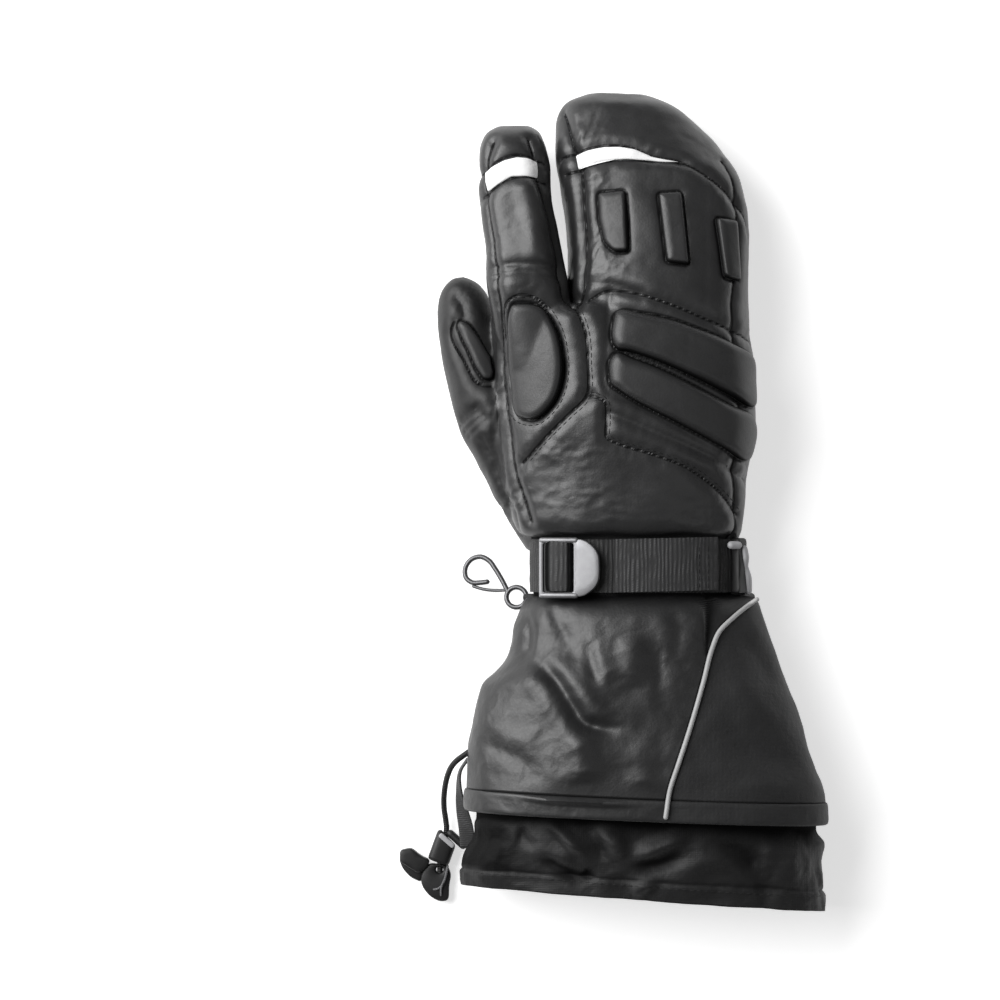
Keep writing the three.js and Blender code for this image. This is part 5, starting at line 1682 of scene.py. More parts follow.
CUFF_FOLDS = (
    Fold(((-52.9, -107.8), (-42.7, -118), (-36.4, -128.2), (-31.3, -135.8), (-23.6, -138.4),
          (-13.4, -138.4)), -2.6, 3.2),
    Fold(((-47.5, -104), (-37, -114.5), (-30, -124), (-24, -130.5), (-12, -132)), 1.3, 4.5),
    Fold(((-60, -112), (-50, -123), (-43, -134), (-36, -143), (-22, -146)), 1.2, 5),
    Fold(((-26, -100), (-21, -109), (-16, -118)), 1.1, 5.5),
    Fold(((-29.5, -99), (-27, -110), (-23, -120)), -0.9, 2.6),
    Fold(((-12, -97), (-9, -108), (-8, -121)), 2, 6.5),
    Fold(((0, -98), (3, -110), (3, -124)), -0.9, 4),
    Fold(((-35, -142), (-31, -152), (-30, -164)), 2.2, 7.5),
    Fold(((-57, -86), (-55.5, -97), (-57.5, -109)), -2, 2.6),
    Fold(((-63, -88), (-62.5, -98), (-66, -110)), 1.4, 4),
    Fold(((-45, -84), (-41, -95), (-36, -102)), -1.2, 3),
    Fold(((8, -84), (12, -96), (10, -108)), -0.9, 3.4),
    Fold(((-78, -146), (-62, -152), (-50, -162)), -0.9, 4),
    Fold(((-10, -146), (-4, -156), (-6, -166)), 0.8, 5),
    Fold(((40, -96), (52, -112), (60, -124)), -1.3, 5),
    Fold(((32, -112), (46, -128), (64, -140)), 1.2, 6),
    Fold(((28, -132), (42, -146), (66, -158)), -1.3, 5.5),
    Fold(((20, -150), (38, -160), (60, -168)), 1, 6),
)
HEM_FOLDS = (
    Fold(((-70, -165.5), (-53, -169.8), (-30, -171.8), (-6, -172.6)), 1.6, 1.4),
)
SKIRT_FOLDS = (
    Fold(((-51, -180.5), (-43, -184), (-36, -190), (-29.5, -195.5)), 4.4, 2.7),
    Fold(((-60, -189), (-47, -195), (-35, -200)), 2.6, 6),
    Fold(((-50, -196.5), (-40, -203.5), (-29.5, -209.5)), -4, 3.2),
    Fold(((-62, -184), (-56, -190), (-50, -193)), -2.6, 3.4),
    Fold(((-24, -183), (-17, -189), (-14, -198)), 4.6, 5),
    Fold(((-31, -182), (-25, -190), (-20, -199)), -2.6, 3),
    Fold(((-10, -198), (2, -192.5), (18, -185)), 4.2, 3.6),
    Fold(((-8, -203.5), (5, -200.5), (16, -196)), -2.8, 3.2),
    Fold(((-31, -203), (-26.5, -208)), -3, 3.2),
    Fold(((-9, -215.5), (-5, -211), (2, -207)), 2.6, 2.4),
    Fold(((14, -204), (26, -199), (38, -197)), 1.8, 4.5),
    Fold(((24, -190), (40, -196), (52, -206)), -1.8, 4.5),
    Fold(((52, -190), (62, -200), (66, -212)), 1.6, 5, 5),
    Fold(((78.3, -188), (81, -194), (83.4, -200.8)), 3.1, 3, 5),
)
PIPING_LINE = (
    (49, -78), (48, -81.4), (37.3, -89.2), (30.3, -96), (27.2, -103.1), (23.2, -117.8),
    (17.7, -136.5), (11.4, -155.4), (8, -165.8), (5.9, -178.4),
)


@dataclass
class Cuff:
    """Gauntlet, hem, snow skirt and piping."""

    finishes: Finishes
    stitching: Stitching
    noise: Noise = field(default_factory=lambda: Noise(41))

    def seams(self, ys: Array) -> tuple[Array, Array]:
        """Turns at which the piping and the left side seam pass some rows."""
        slant = CUFF.at(ys)[:, 5]
        line = np.array(sorted(PIPING_LINE, key=lambda point: point[1]))
        x = np.interp(ys, line[:, 1], line[:, 0])
        for _ in range(4):
            x = np.interp(ys + slant * x, line[:, 1], line[:, 0])
        right = CUFF.turn_at_x(x, ys)
        left = CUFF.left_turn_at_z(SIDE_SEAM_Z, ys)
        return right, left

    def panel(self, ys: Array, back: bool, columns: int, grow: float | Array) -> Form:
        """One side of the gauntlet: its leather back, or the nylon round the rest.

        Args:
            ys: the rows' places.
            back: which side.
            columns: points in a row.
            grow: distance outwards, for all rows or row by row.

        Returns:
            the open surface.
        """
        right, left = self.seams(ys)
        share = np.linspace(0, 1, columns)[None, :]
        ends = (right, left) if back else (left, 1 + right)
        turns = ends[0][:, None] * (1 - share) + ends[1][:, None] * share
        return CUFF.surface(ys, turns, grow)

    def build(self) -> None:
        """Make the gauntlet, its hem and piping, and the skirt."""
        self.shell()
        self.hem()
        self.skirt()
        self.piping()

    def crumpled(self, points: Array, folds: Iterable[Fold], wide: float, fine: float) -> Array:
        """Folds and unevenness at some points."""
        relief = sum(fold.relief(points) for fold in folds)
        relief = relief + wide * self.noise.layered(points / 26 + 2, 2)
        return relief - fine * (self.noise.creased(points / 15, 3) - 0.4)

    def shell(self) -> None:
        """Make the gauntlet's two panels and the stitches beside the piping."""
        ys = np.linspace(HEM_Y + 0.2, STRAP_Y - 0.2, 106)
        for back, name, finish, slot, columns, uneven in (
            (True, "gauntlet_back", self.finishes.cuff_leather, "leather", 165, (1.0, 0.5)),
            (False, "gauntlet_nylon", self.finishes.nylon, "nylon", 200, (0.9, 0.35)),
        ):
            form = self.panel(ys, back, columns, 0.0)
            relief = self.crumpled(form.points, CUFF_FOLDS, *uneven) + self.flap(form.points)
            ends = np.clip((form.marks["along"] - HEM_Y) / 8, 0, 1)
            ends *= np.clip((STRAP_Y - 2 - form.marks["along"]) / 10, 0, 1)
            form.pushed(relief * ends)
            form.points[:, 2] = np.maximum(form.points[:, 2], REST)
            form.marks["seam"] = np.full(len(form.points), OFF_SEAM)
            if back:
                line = np.array(smooth_line(PIPING_LINE, 1.5))
                gap, _ = distance_along(form.points[:, :2], line, OFF_SEAM)
                x, y, z = form.points.T
                # painted shadow to the right of the flap's edge
                reach = 1.6 + 7.4 * np.clip((y + 102) / 16, 0, 1)
                edge = np.where(x > FLAP_X, (x - FLAP_X) / reach, (FLAP_X - x) / FLAP_RAMP)
                edge = np.where((y > -107) & (z > 25), edge + 0.02, OFF_SEAM)
                # painted shadow in a band under the strap
                under = (CUFF_Y + 0.5 - form.marks["along"]) / 7.5
                edge = np.minimum(edge, under.clip(0.02))
                # painted shade beside the piping, with the two painted shadows
                form.marks["seam"] = np.minimum(np.maximum(gap - 1.0, 0.2), edge)
                self.back = form
                row = offset(line[4:-8], 3.0)
                self.stitching.sew(Ground(form), row)
            piece = form.walled(CUFF_WALL).outward().made(name + "_panel", finish)
            settle(piece, slot, name)

    def flap(self, points: Array) -> Array:
        """Height of the leather where it laps over the panel at its right."""
        x, y, z = points.T
        low = np.clip((y + 110) / 10, 0, 1)
        edge = np.clip((FLAP_X - x) / FLAP_RAMP, 0, 1)
        return 1.1 * low * edge * np.clip((x + 20) / 30, 0, 1) * (z > 25)

    def hem(self) -> None:
        """Make the turned hem in its two materials."""
        low = SKIRT_TOP + GAP
        ys = np.concatenate([low + np.array([0, 0.25, 0.7, 1.4, 2.4]),
                             np.linspace(low + 3.6, HEM_Y - 3.2, 8),
                             HEM_Y - np.array([2.2, 1.4, 0.8, 0.3, 0.0])])
        rise = np.minimum(ys - low, HEM_Y - ys) / 2.6
        grow = HEM_PROUD * (1 - (1 - np.clip(rise, 0, 1)) ** 2.4) ** (1 / 2.4)
        for back, name, finish, columns in (
            (True, "hem_leather", self.finishes.cuff_leather, 190),
            (False, "hem_nylon", self.finishes.nylon, 260),
        ):
            form = self.panel(ys, back, columns, grow)
            inner = self.panel(ys, back, columns, -CUFF_WALL)
            share = np.repeat(np.clip(rise, 0, 1), columns)
            form.pushed(share * self.crumpled(form.points, HEM_FOLDS, 0.5, 0.4))
            form.points[:, 2] = np.maximum(form.points[:, 2], 0.0)
            form.marks["seam"] = np.full(len(form.points), OFF_SEAM)
            piece = form.backed(inner.points).outward().made(name, finish, 60)
            settle(piece, "nylon", "gauntlet_hem")

    def skirt(self) -> None:
        """Make the snow skirt with its turned end."""
        ys = np.linspace(SKIRT_END + 0.5, HEM_Y + SKIRT_INSIDE, 88)
        turns = np.arange(300) / 300
        form = CUFF.surface(ys, turns, -CUFF_WALL - GAP)
        hang = np.clip((SKIRT_TOP - form.marks["along"]) / 10, 0, 1)
        relief = self.crumpled(form.points, SKIRT_FOLDS, 1.4, 1.1)
        turn = form.marks["turn"]
        ripple = self.noise(np.stack([turn * 30, form.marks["along"] / 22, 0 * turn + 8], axis=1))
        hem = form.marks["along"] - SKIRT_END - SKIRT_HEM
        relief = relief * hang + 0.9 * hang * ripple
        relief += np.where(hem < 0, 0.35, 0.0) - 0.7 * np.exp(-((hem / 0.9) ** 2))
        below = SKIRT_TOP - form.marks["along"]
        relief -= 2.2 * np.exp(-(((below - 2) / 5) ** 2))
        form.pushed(relief)
        self.spread(form)
        form.points[:, 2] = np.maximum(form.points[:, 2], 0.9)
        # painted shade: a dark band under the hem with a wavy lower edge, the folds' valleys, and the
        # skirt's left side
        band = 7.0 + 5.0 * self.noise(np.stack([turn * 17, 0 * turn + 2, 0 * turn + 5], axis=1))
        dark = np.clip((band + 4 - below) / 8, 0, 1)
        valley = np.clip(-relief / 4.5, 0, 0.8) * hang
        left = np.clip((-54 - form.points[:, 0]) / 16, 0, 0.85)
        left *= np.clip(hem / 4 + 0.4, 0.2, 1)
        form.marks["shade"] = np.maximum(np.maximum(dark, valley), left)
        ground = Ground(form)
        x = np.linspace(-80, 78, 160)
        row = np.stack([x, SKIRT_END + SKIRT_HEM - 1.6 + SKIRT_SLANT * x], axis=1)
        for side in Side:
            self.stitching.sew(ground, row, side)
        piece = form.walled(0.85).outward().made("snow_skirt_cloth", self.finishes.skirt_nylon)
        settle(piece, "nylon", "snow_skirt")

    def spread(self, form: Form) -> None:
        """Let the skirt bulge at its left side, most where it lies on the floor."""
        x, y, z = form.points.T
        low = np.clip((14 - z) / 8, 0, 1) * np.clip((-178 - y) / 6, 0, 1)
        bulge = 2.0 * np.exp(-(((y + 204) / 8) ** 2)) - 2.6 * np.exp(-(((y + 189) / 6) ** 2))
        spill = 8.0 + 6.5 * np.exp(-(((y + 204) / 9) ** 2))
        form.points[:, 0] -= np.clip((-56 - x) / 12, 0, 1) * ((1 - low) * bulge + low * spill)

    def piping(self) -> None:
        """Make the piping along the back panel's edge and over the hem."""
        line = smooth_line(PIPING_LINE[1:], 1.2)
        spots, normals = Ground(self.back).fallen(line)
        over = np.clip((HEM_Y + 1 - line[:, 1] + HEM_SLANT * line[:, 0]) / 2.5, 0, 1)
        lift = 0.3 * PIPING_DIAMETER + HEM_PROUD * over
        points = spots + normals * lift[:, None]
        points[:, :2] = line[:, :2]
        points[:, 2] = np.convolve(np.pad(points[:, 2], 2, "edge"), np.ones(5) / 5, "valid")
        tube = rod(points, 0.42 * PIPING_DIAMETER, 14)
        settle(tube.made("piping_cord", self.finishes.grey_tape), "reflective_grey", "piping")


def belt(sections: Sections, ys: Array, ends: tuple[float, float], columns: int, grow: float) -> Form:
    """A strap round the wrist, laid out along and across for its weave.

    Args:
        sections: what it lies on.
        ys: its rows' places, across its width.
        ends: where it starts and stops, in turns.
        columns: points along it.
        grow: height of its outer side above the modelled surface.

    Returns:
        the open outer surface.
    """
    form = sections.surface(ys, np.linspace(*ends, columns), grow)
    grid = form.points.reshape(len(ys), columns, 3)
    steps = np.linalg.norm(np.diff(grid, axis=1), axis=2)
    run = np.concatenate([np.zeros((len(ys), 1)), np.cumsum(steps, axis=1)], axis=1)
    form.marks = {"along": run.ravel(), "across": np.repeat(ys, columns)}
    return form


def by_turn(outline: Array, count: int) -> Array:
    """An outline round the origin as points at even turns."""
    turn = np.unwrap(np.arctan2(outline[:, 1], outline[:, 0]))
    if turn[-1] < turn[0]:
        turn, outline = turn[::-1], outline[::-1]
    reach = np.linalg.norm(outline, axis=1)
    asked = 2 * np.pi * np.arange(count) / count
    size = np.interp((asked - turn[0]) % (2 * np.pi) + turn[0], turn, reach)
    return np.stack([np.cos(asked), np.sin(asked)], axis=1) * size[:, None]


def cornered(corners: Sequence[tuple[float, float, float]], steps: int = 8) -> Array:
    """A closed outline with rounded corners.

    Args:
        corners: x, y and radius of each corner, all convex.
        steps: points round each corner.

    Returns:
        the outline, closed, with its first point repeated at the end.
    """
    line = []
    for k, (x, y, radius) in enumerate(corners):
        here = np.array([x, y])
        ways = []
        for other in (corners[k - 1], corners[(k + 1) % len(corners)]):
            way = np.array(other[:2]) - here
            reach = float(np.linalg.norm(way))
            ways.append(way / reach * min(radius, 0.49 * reach))
        for t in np.linspace(0, 1, steps):
            line.append(here + (1 - t) ** 2 * ways[0] + t**2 * ways[1])
    line.append(line[0])
    return np.array(line)


def edge_steps(share: Array, thickness: float, bevel: float) -> list[tuple[Array, float]]:
    """Steps up a rounded edge: how far in towards the middle, and how high."""
    low, high = 0.3 * bevel, thickness - 0.3 * bevel
    return [(share, 0.0), (0.3 * share, low), (0 * share, bevel), (0 * share, thickness - bevel),
            (0.3 * share, high), (share, thickness)]


def layers(outer: Array, inner: Array, steps: Iterable[tuple[Array, float]]) -> list[Array]:
    """Rings from an outline towards an inner one or a point, at the shares and heights of the steps."""
    return [
        np.concatenate([outer + share * (inner - outer), np.full((len(outer), 1), z)], axis=1)
        for share, z in steps
    ]


def frame_plate(outer: Array, inner: Array, thickness: float, bevel: float) -> Form:
    """A flat frame with rounded edges.

    Args:
        outer: its outline, closed, round the origin.
        inner: the opening's outline, closed, round the origin.
        thickness: its thickness.
        bevel: radius of its edges.

    Returns:
        the closed body.
    """
    count = 240
    outer, inner = by_turn(even_line(outer, 0.1), count), by_turn(even_line(inner, 0.1), count)
    reach = np.linalg.norm(inner - outer, axis=1, keepdims=True)
    steps = edge_steps(np.minimum(bevel / reach, 0.45), thickness, bevel)
    rows = layers(outer, inner, steps + [(1 - share, z) for share, z in reversed(steps)])
    return Form(np.concatenate(rows), grid_faces(len(rows), count, True, True)).outward()


def solid_plate(outline: Array, thickness: float, bevel: float, dome: float) -> Form:
    """A flat plate with rounded edges on the plane z = 0.

    Args:
        outline: its outline, closed.
        thickness: its thickness.
        bevel: radius of its edges.
        dome: height of its middle above its upper edge.

    Returns:
        the closed body.
    """
    size = length_of(outline)
    rim = even_line(outline, size / 120)[:120]
    centre = (outline.max(0) + outline.min(0)) / 2
    reach = np.linalg.norm(rim - centre, axis=1, keepdims=True)
    b = np.minimum(bevel / reach, 0.5)
    steps = edge_steps(b, thickness, bevel)
    for share in (0.35, 0.6, 0.85):
        steps.append((np.maximum(b, share), thickness + dome * math.sin(share * math.pi / 2)))
    return tube_of(layers(rim, centre, steps))


def box_outline(left: float, right: float, reach: float, radius: float) -> Array:
    """A rounded rectangle that reaches as far to both sides of the X axis."""
    corners = ((left, -reach), (right, -reach), (right, reach), (left, reach))
    return cornered([(x, y, radius) for x, y in corners])


def on_wrist(form: Form, x: float, lift: float, tilt: float, y: float = STRAP_Y) -> Form:
    """Lay a flat part on the wrist's back.

    Args:
        form: the part, on the plane z = 0.
        x: where on the wrist.
        lift: height above it.
        tilt: slope in degrees.
        y: where along the mitt.

    Returns:
        the same part, moved.
    """
    c, s = math.cos(math.radians(tilt)), math.sin(math.radians(tilt))
    z = float(PALM.height(np.array([x]), np.array([STRAP_Y]))[0])
    px, py, pz = form.points.T
    form.points = np.stack([x + px * c - (pz + lift) * s, y + py, z + px * s + (pz + lift) * c], axis=1)
    return form


@dataclass
class WristStrap:
    """Strap, tail, metal buckle and the frame at the right."""

    finishes: Finishes
    stitching: Stitching
    noise: Noise = field(default_factory=lambda: Noise(51))

    def build(self) -> None:
        """Make every part."""
        self.straps()
        self.buckle()
        self.roll()
        self.side_buckle()

    def straps(self) -> None:
        """Make the strap and the tail that comes back over it."""
        ys = np.linspace(STRAP_Y - STRAP_WIDTH / 2, STRAP_Y + STRAP_WIDTH / 2, 31)
        low = belt(PALM, ys, (0.012, 0.492), 240, 2.1)
        low.pushed(0.25 * self.noise.layered(low.points / 12, 2))
        form = low.walled(STRAP_THICKNESS).outward()
        piece = form.made("wrist_strap_webbing", self.finishes.shaded_under_webbing, 60)
        settle(piece, "webbing", "wrist_strap")
        ends = PALM.turn_at_x(np.array([28.4, 28.4 - STRAP_TAIL]), np.array([STRAP_Y, STRAP_Y]))
        tail = belt(PALM, ys, (float(ends[0]), float(ends[1])), 110, 4.3)
        x, y, z = tail.points.T
        turn = math.radians(1.2)
        z = z + 0.25 * self.noise.layered(tail.points / 14, 2)
        tail.points = np.stack([x, y + 0.5 + turn * x, z], axis=1)
        ground = Ground(tail)
        for at in (25.6, 21.5):
            self.stitching.sew(ground, np.array([[at, STRAP_Y - 10.5], [at, STRAP_Y + 11.0]]))
        form = tail.walled(STRAP_THICKNESS).outward()
        settle(form.made("strap_tail_webbing", self.finishes.webbing, 60), "webbing", "strap_tail")

    def buckle(self) -> None:
        """Make the buckle's frame, its rounded rails and its D-shaped tab."""
        outer = cornered(((-9.3, -13.6, 2.4), (8.8, -13.6, 2), (9.2, -9, 2), (9.2, 9, 2),
                          (8.8, 13.6, 2), (-9.3, 13.6, 2.4)))
        inner = box_outline(-7.2, 7.0, 11.0, 1.0)
        parts = [frame_plate(outer, inner, 2.6, 0.8)]
        for y in (-12.4, 12.4):
            line = np.array([[-8.0, y, 1.8], [-3, y, 2.2], [3, y, 2.2], [8.0, y, 1.8]])
            parts.append(rod(even_line(line, 0.6), 1.3, 16))
        tab = cornered(((7.6, -13.2, 2.5), (12.6, -12.6, 5), (18.6, -7.6, 7), (19.2, 0, 6),
                        (18.6, 7.6, 7), (12.6, 12.6, 5), (7.6, 13.2, 2.5)))
        parts.append(solid_plate(tab, 2.6, 0.7, 0.2))
        form = joined(parts)
        form = on_wrist(form, BUCKLE_X, BUCKLE_LIFT, BUCKLE_TILT, STRAP_Y - 0.8)
        settle(form.made("buckle_frame", self.finishes.buckle, 35), "buckle_metal", "buckle")

    def roll(self) -> None:
        """Make the webbing turned round the buckle's bar."""
        turns = round_turns(72)
        rows = []
        ys = np.linspace(-11.3, 11.3, 40)
        for y in ys:
            slim = 1 - 0.1 * (abs(y) / 11.3) ** 8
            x, z = 6.6 * slim * np.cos(turns), 3.3 * slim * np.sin(turns)
            z = z + 0.5 * np.cos(2.2 * turns + 0.4) * (z > 0)
            rows.append(np.stack([x, np.full_like(x, y), z], axis=1))
        form = tube_of(rows)
        form = on_wrist(form, BUCKLE_X + 0.1, BUCKLE_LIFT + 0.8, BUCKLE_TILT)
        girth = np.tile(turns * 5.2, len(ys))
        # painted shade at the roll's sides, where it turns down into the frame's slots, and at its ends
        dark = np.tile(np.clip(np.abs(np.cos(turns)) * 5 - 2.5, 0, 1), len(ys))
        form.marks = {"along": np.concatenate([girth, [0, 0]]),
                      "across": np.concatenate([np.repeat(ys, 72), [0, 0]]),
                      "shade": np.concatenate([dark, [1, 1]])}
        settle(form.made("strap_roll_webbing", self.finishes.webbing, 60), "webbing", "strap_roll")

    def side_buckle(self) -> None:
        """Make the dark block at the strap's right end, with its pale rail and lever."""
        body = solid_plate(box_outline(-3.4, 3.0, 12.6, 1.4), 4.6, 1.0, 0.2)
        body = on_wrist(body, 37.6, 1.0, -52)
        line = np.array([[36.6, -78.6, 33.5], [41.5, -80.0, 30.5], [46.2, -80.6, 24.0]])
        foot = rod(even_line(line, 0.8), 1.9, 16)
        form = joined((body, foot))
        settle(form.made("side_buckle_frame", self.finishes.plastic, 35), "plastic", "side_buckle")
        # painted highlight: the rail's pale grey plastic; the lever shares it
        rail = rod(even_line(np.array([[36.4, -56.8, 41.0], [39.6, -56.9, 39.2]]), 0.6), 1.8, 16)
        line = smooth_line(((42.4, -58.6, 36.0), (43.0, -62.5, 35.5), (43.1, -66.5, 34.6),
                            (44.1, -71.5, 33.4), (44.4, -77.4, 32.0)), 0.6)
        share = np.linspace(0, 1, len(line))
        radius = np.interp(share, (0, 0.2, 0.42, 0.7, 1), (1.7, 1.9, 1.4, 2.0, 2.0))
        lever = rod(line, radius, 16, flat=1.4)
        settle(joined((rail, lever)).made("side_buckle_lever", self.finishes.paler), "buckle_metal")


CLIP_EYE = np.array([-0.37 * CUFF_WIDTH, CUFF_Y - 1.6, 13.0])
CLIP_BEND = (  # steps from the middle of the clip's eye, in x and y
    (-4, 2.6), (-6.2, 7), (-9.6, 12.7), (-12.6, 16.7), (-16.4, 18.5), (-20.8, 17.2), (-23.6, 12.8),
    (-23, 8.6), (-20.2, 6.6), (-16.6, 6.6), (-13.4, 7),
)
CLIP_GATE = ((-19.8, 4.9), (-15.6, 3.7), (-10.9, 3.1), (-4.6, 3.2))


@dataclass
class Clip:
    """Bent wire clip with a gate, and the webbing loop that holds it."""

    finishes: Finishes
    wire: float = 2.3
    eye: float = 9.2
    turn: float = math.radians(147)
    droop: float = math.radians(17)

    def line(self, steps: Iterable[tuple[float, float]], closed: bool = False) -> Array:
        """A smooth line through steps from the eye, in the clip's sloping plane."""
        flat = np.array(list(steps))
        fall = (flat @ np.array([math.cos(self.turn), math.sin(self.turn)])) * math.tan(self.droop)
        line = smooth_line(np.concatenate([flat, -fall[:, None]], axis=1) + CLIP_EYE, 0.5, closed)
        return line[:-1] if closed else line

    def build(self) -> None:
        """Make the clip and its loop."""
        turns = round_turns(24)
        eye = self.line(np.stack([np.cos(turns), np.sin(turns)], axis=1) * self.eye / 2, True)
        parts = [
            rod(self.line(CLIP_BEND), self.wire / 2, 18),
            rod(self.line(CLIP_GATE), 0.32 * self.wire, 14),
            rod(eye, self.wire / 2, 18, True),
        ]
        settle(joined(parts).made("wire_clip", self.finishes.wire), "buckle_metal", "clip")
        turns = round_turns(80)
        loop = np.stack([4.6 * np.cos(turns), 0 * turns, 3.8 * np.sin(turns)], axis=1)
        loop = loop + CLIP_EYE + (8.3, 0, 0.4)
        settle(rod(loop, 0.75, 14, True, 2.2, (0, 1, 0)).made("clip_loop_webbing", self.finishes.braid),
               "webbing", "clip_loop")


CORD_EXIT = np.array([-0.504 * CUFF_WIDTH, CUFF_Y - 0.785 * CUFF_LENGTH, 29.0])
PULL_SHIFT = np.array([-0.4, -2.2, 0.0])
CORD_STEPS = (
    (0, 0, 0), (-2.6, -1.9, -1), (-5.2, -3.9, -2.4), (-7.5, -6.6, -5), (-9.2, -10.2, -9.2),
    (-10.4, -14.6, -13.6), (-11.1, -19.1, -17.6), (-11.4, -23.6, -20.8), (-11.2, -28, -23),
    (-10.6, -32.2, -24.3), (-10.2, -36.2, -24.9), (-10.6, -40, -25), (-11.7, -43.6, -25),
    (-12.7, -47.2, -25), (-13.2, -51, -25.1), (-13.2, -54.8, -25.4), (-13.4, -58.6, -25.6),
    (-14, -62.5, -25.7),
)


@dataclass
class DrawCord:
    """The cuff's drawcord with its lock, the lock's webbing tab and the pull at the end."""

    finishes: Finishes

    def build(self) -> None:
        route = CORD_EXIT + np.array(CORD_STEPS)
        line = smooth_line(route, 0.8)
        cord = settle(rod(line, CORD_DIAMETER / 2, 14).made("draw_cord_braid", self.finishes.braid),
                      "webbing", "draw_cord")
        pieces = [self.lock(), self.lip(), self.pull(), self.strand()]
        self.tab()

    def lock(self) -> bpy.types.Object:
        """The lock: a rounded box with a slanting top, and the bar that joins it to its tab."""
        profile = ((-6.4, 0.7), (-6.3, 0.84), (-5.8, 0.96), (-4.8, 1.0), (4.2, 1.0), (5.2, 0.97),
                   (5.9, 0.88), (6.2, 0.72))
        turns = round_turns(56)
        c, s = np.cos(turns), np.sin(turns)
        across = bent(c, 0.55)
        rows = [
            np.stack([5.1 * size * across, y - 0.38 * 5.1 * across * np.clip((y + 4) / 8, 0, 1),
                      4.0 * size * bent(s, 0.55)], axis=1)
            for y, size in profile
        ]
        form = turned_plate(tube_of(rows), -20, CORD_EXIT + (-12.0, -46.0, -24.8))
        bar = rod(even_line(np.array([[-91.0, -189.9, 6.0], [-85.2, -195.2, 6.6]]), 0.6), 1.8, 16)
        piece = joined((form, bar)).made("cord_lock_body", self.finishes.plastic, 50)
        return settle(piece, "plastic", "cord_lock")

    def lip(self) -> bpy.types.Object:
        """The pale lip on the lock's top; its pale grey is a painted highlight."""
        outline = box_outline(-4.3, 4.3, 1.15, 1.0)
        form = turned_plate(solid_plate(outline, 1.3, 0.4, 0.1), -41, (-92.7, -192.9, 7.6))
        return settle(form.made("cord_lock_lip", self.finishes.paler, 50), "plastic")

    def pull(self) -> bpy.types.Object:
        """The pull: a lever with a flange at its lower side, and a hub with an opening."""
        middle = np.array([-95.6, -204.4])
        hub = cornered([(x - middle[0], y - middle[1], r) for x, y, r in (
            (-103.2, -204.0, 2.0), (-99.9, -201.4, 1.5), (-92.0, -202.4, 1.5), (-90.2, -206.7, 2.0),
            (-91.2, -211.5, 2.0), (-91.4, -218.4, 2.0), (-95.0, -219.2, 2.0), (-99.6, -217.2, 2.5),
            (-103.4, -212.8, 2.5), (-104.4, -209.0, 2.0))])
        turns = np.linspace(0, 2 * np.pi, 60)
        hole = np.stack([1.7 * np.cos(turns), 1.5 * np.sin(turns)], axis=1)
        hub = frame_plate(hub, hole, 5.4, 1.0)
        hub.points = hub.points + (*middle, 0)
        lever = cornered(((-113.9, -195.4, 1.6), (-108.6, -194.3, 1.6), (-104.4, -197.8, 2.0),
                          (-99.8, -199.9, 2.0), (-101.6, -204.0, 2.0), (-105.6, -206.0, 1.5),
                          (-114.0, -200.6, 1.6)))
        flange = cornered(((-114.4, -199.4, 1.2), (-112.9, -203.8, 2.0), (-109.2, -208.0, 2.0),
                           (-104.2, -210.2, 1.5), (-102.8, -205.6, 1.5)))
        form = joined(Form(part.points + PULL_SHIFT, part.faces) for part in (
            hub, solid_plate(lever, 6.4, 0.9, 0.3), solid_plate(flange, 3.4, 0.8, 0.2)))
        return settle(form.made("cord_pull_body", self.finishes.plastic, 50), "plastic", "cord_pull")

    def strand(self) -> bpy.types.Object:
        """The strand at the cord's end where it comes through the pull; its pale grey is a painted
        glint.
        """
        lines = (
            ((-91.9, -202.6, 6.2), (-93.2, -208.3, 6.6), (-94.9, -212.5, 6.4), (-95.0, -216.0, 5.6)),
            ((-94.6, -211.6, 6.3), (-96.2, -212.9, 6.2), (-98.2, -213.4, 5.4)),
        )
        form = joined(rod(smooth_line(line, 0.5) + PULL_SHIFT, 0.5, 10) for line in lines)
        return settle(form.made("cord_end_strand", self.finishes.core), "webbing")

    def tab(self) -> None:
        """The lock's webbing tab, turned from standing at the seam to flat at the lock."""
        rows = np.array([(0, -3, -4, 80), (-4.0, -10, -10, 82), (-4.2, -20, -15, 66),
                         (-2.8, -28, -18, 38), (-1.2, -36, -19.6, 12), (-0.4, -45, -20.6, 0)], float)
        line = spline(np.arange(6.0), rows, np.linspace(0, 5, 60))
        turn = np.radians(line[:, 3])[:, None, None]
        centre = (line[:, :3] + CORD_EXIT)[:, None]
        side = np.concatenate([np.cos(turn), 0 * turn, np.sin(turn)], axis=2)
        rise = np.concatenate([-np.sin(turn), 0 * turn, np.cos(turn)], axis=2)
        turns = round_turns(40)[None, :, None]
        c, s = np.cos(turns), np.sin(turns)
        form = tube_of(list(centre + side * TAB_HALF * bent(c, 0.4) + rise * 0.6 * bent(s, 0.6)))
        run = run_of(line[:, :3])
        form.marks = {"along": np.concatenate([np.repeat(run, 40), [0, run[-1]]]),
                      "across": np.concatenate([np.tile(TAB_HALF * c.ravel(), 60), [0, 0]])}
        settle(form.made("cord_tab_webbing", self.finishes.tab), "webbing", "cord_tab")


def turned_plate(form: Form, turn: float, place: Sequence[float]) -> Form:
    """A part turned by some degrees about the upright axis and moved to a place."""
    c, s = math.cos(math.radians(turn)), math.sin(math.radians(turn))
    x, y, z = form.points.T
    form.points = np.stack([x * c - y * s, x * s + y * c, z], axis=1) + np.asarray(place, float)
    return form


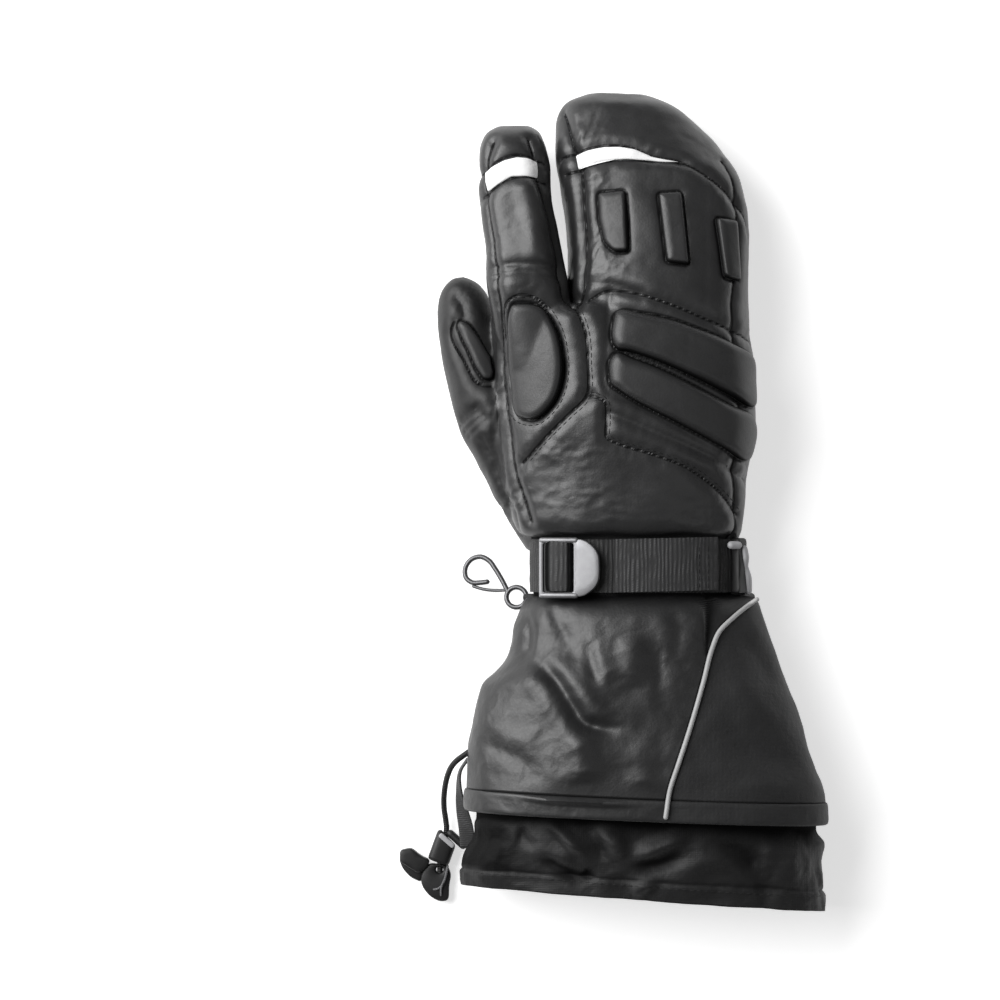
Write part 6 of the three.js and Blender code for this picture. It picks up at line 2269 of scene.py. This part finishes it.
@dataclass
class Studio:
    """Camera straight above the mitt, a soft light from the upper left and a pale floor."""

    height: float = 2.2
    focus: float = 0.03
    view: float = 0.455
    middle: tuple[float, float] = (-0.06825, -0.0364)

    def camera(self) -> None:
        """Set up the camera."""
        lens = bpy.data.cameras.new("camera")
        lens.sensor_width = 36.0
        lens.lens = 36.0 * (self.height - self.focus) / self.view
        lens.clip_end = 10.0
        camera = bpy.data.objects.new("camera", lens)
        camera.location = (*self.middle, self.height)
        bpy.context.scene.collection.objects.link(camera)
        bpy.context.scene.camera = camera

    def lamp(self, name: str, place: Sequence[float], size: float, power: float) -> None:
        """Add a square soft light that points at the mitt.

        Args:
            name: its name.
            place: where it is, in metres.
            size: its side in metres.
            power: its power in watts.
        """
        light = bpy.data.lights.new(name, "AREA")
        light.shape, light.size, light.energy = "SQUARE", size, power
        lamp = bpy.data.objects.new(name, light)
        lamp.location = place
        way = Vector((*self.middle, 0)) - Vector(place)
        lamp.rotation_euler = way.to_track_quat("-Z", "Y").to_euler()
        bpy.context.scene.collection.objects.link(lamp)

    def floor(self) -> None:
        """Lay the pale floor."""
        shop = Shop("floor_paper")
        finish = shop.surface(Base_Color=grey(0.9, 0), Roughness=0.7, Specular_IOR_Level=0.1,
                              Emission_Color=grey(1.0, 0), Emission_Strength=0.6)
        mesh = bpy.data.meshes.new("floor")
        reach = 4.0
        corners = [(-reach, -reach, 0), (reach, -reach, 0), (reach, reach, 0), (-reach, reach, 0)]
        mesh.from_pydata(corners, [], [(0, 1, 2, 3)])
        mesh.materials.append(finish)
        floor = bpy.data.objects.new("floor", mesh)
        bpy.context.scene.collection.objects.link(floor)

    def build(self) -> None:
        """Set up all but the camera."""
        world = bpy.data.worlds.new("studio")
        world.use_nodes = True
        world.node_tree.nodes["Background"].inputs["Color"].default_value = grey(0.12, 0)
        bpy.context.scene.view_settings.view_transform = "Standard"
        bpy.context.scene.world = world
        self.lamp("key", (-1.55, 0.72, 1.46), 1.8, 72)
        self.lamp("fill", (1.3, -0.4, 1.8), 1.2, 2)
        self.floor()


def main() -> None:
    """Build every piece of the mitt and the studio round it."""
    logging.basicConfig(level=logging.INFO, format="%(name)s %(message)s")
    studio = Studio()
    studio.camera()
    finishes = Finishes()
    DrawCord(finishes).build()
    stitching = Stitching()
    core, skin = Hand(finishes.leather, finishes.shaded_thumb_leather).build(stitching)
    Pads(finishes, stitching).build(core, skin)
    Bellows(finishes.leather).build(core)
    Gather(finishes.leather).build()
    Cuff(finishes, stitching).build()
    WristStrap(finishes, stitching).build()
    Clip(finishes).build()
    stitching.made(finishes.thread)
    studio.build()


if __name__ == "__main__":
    main()
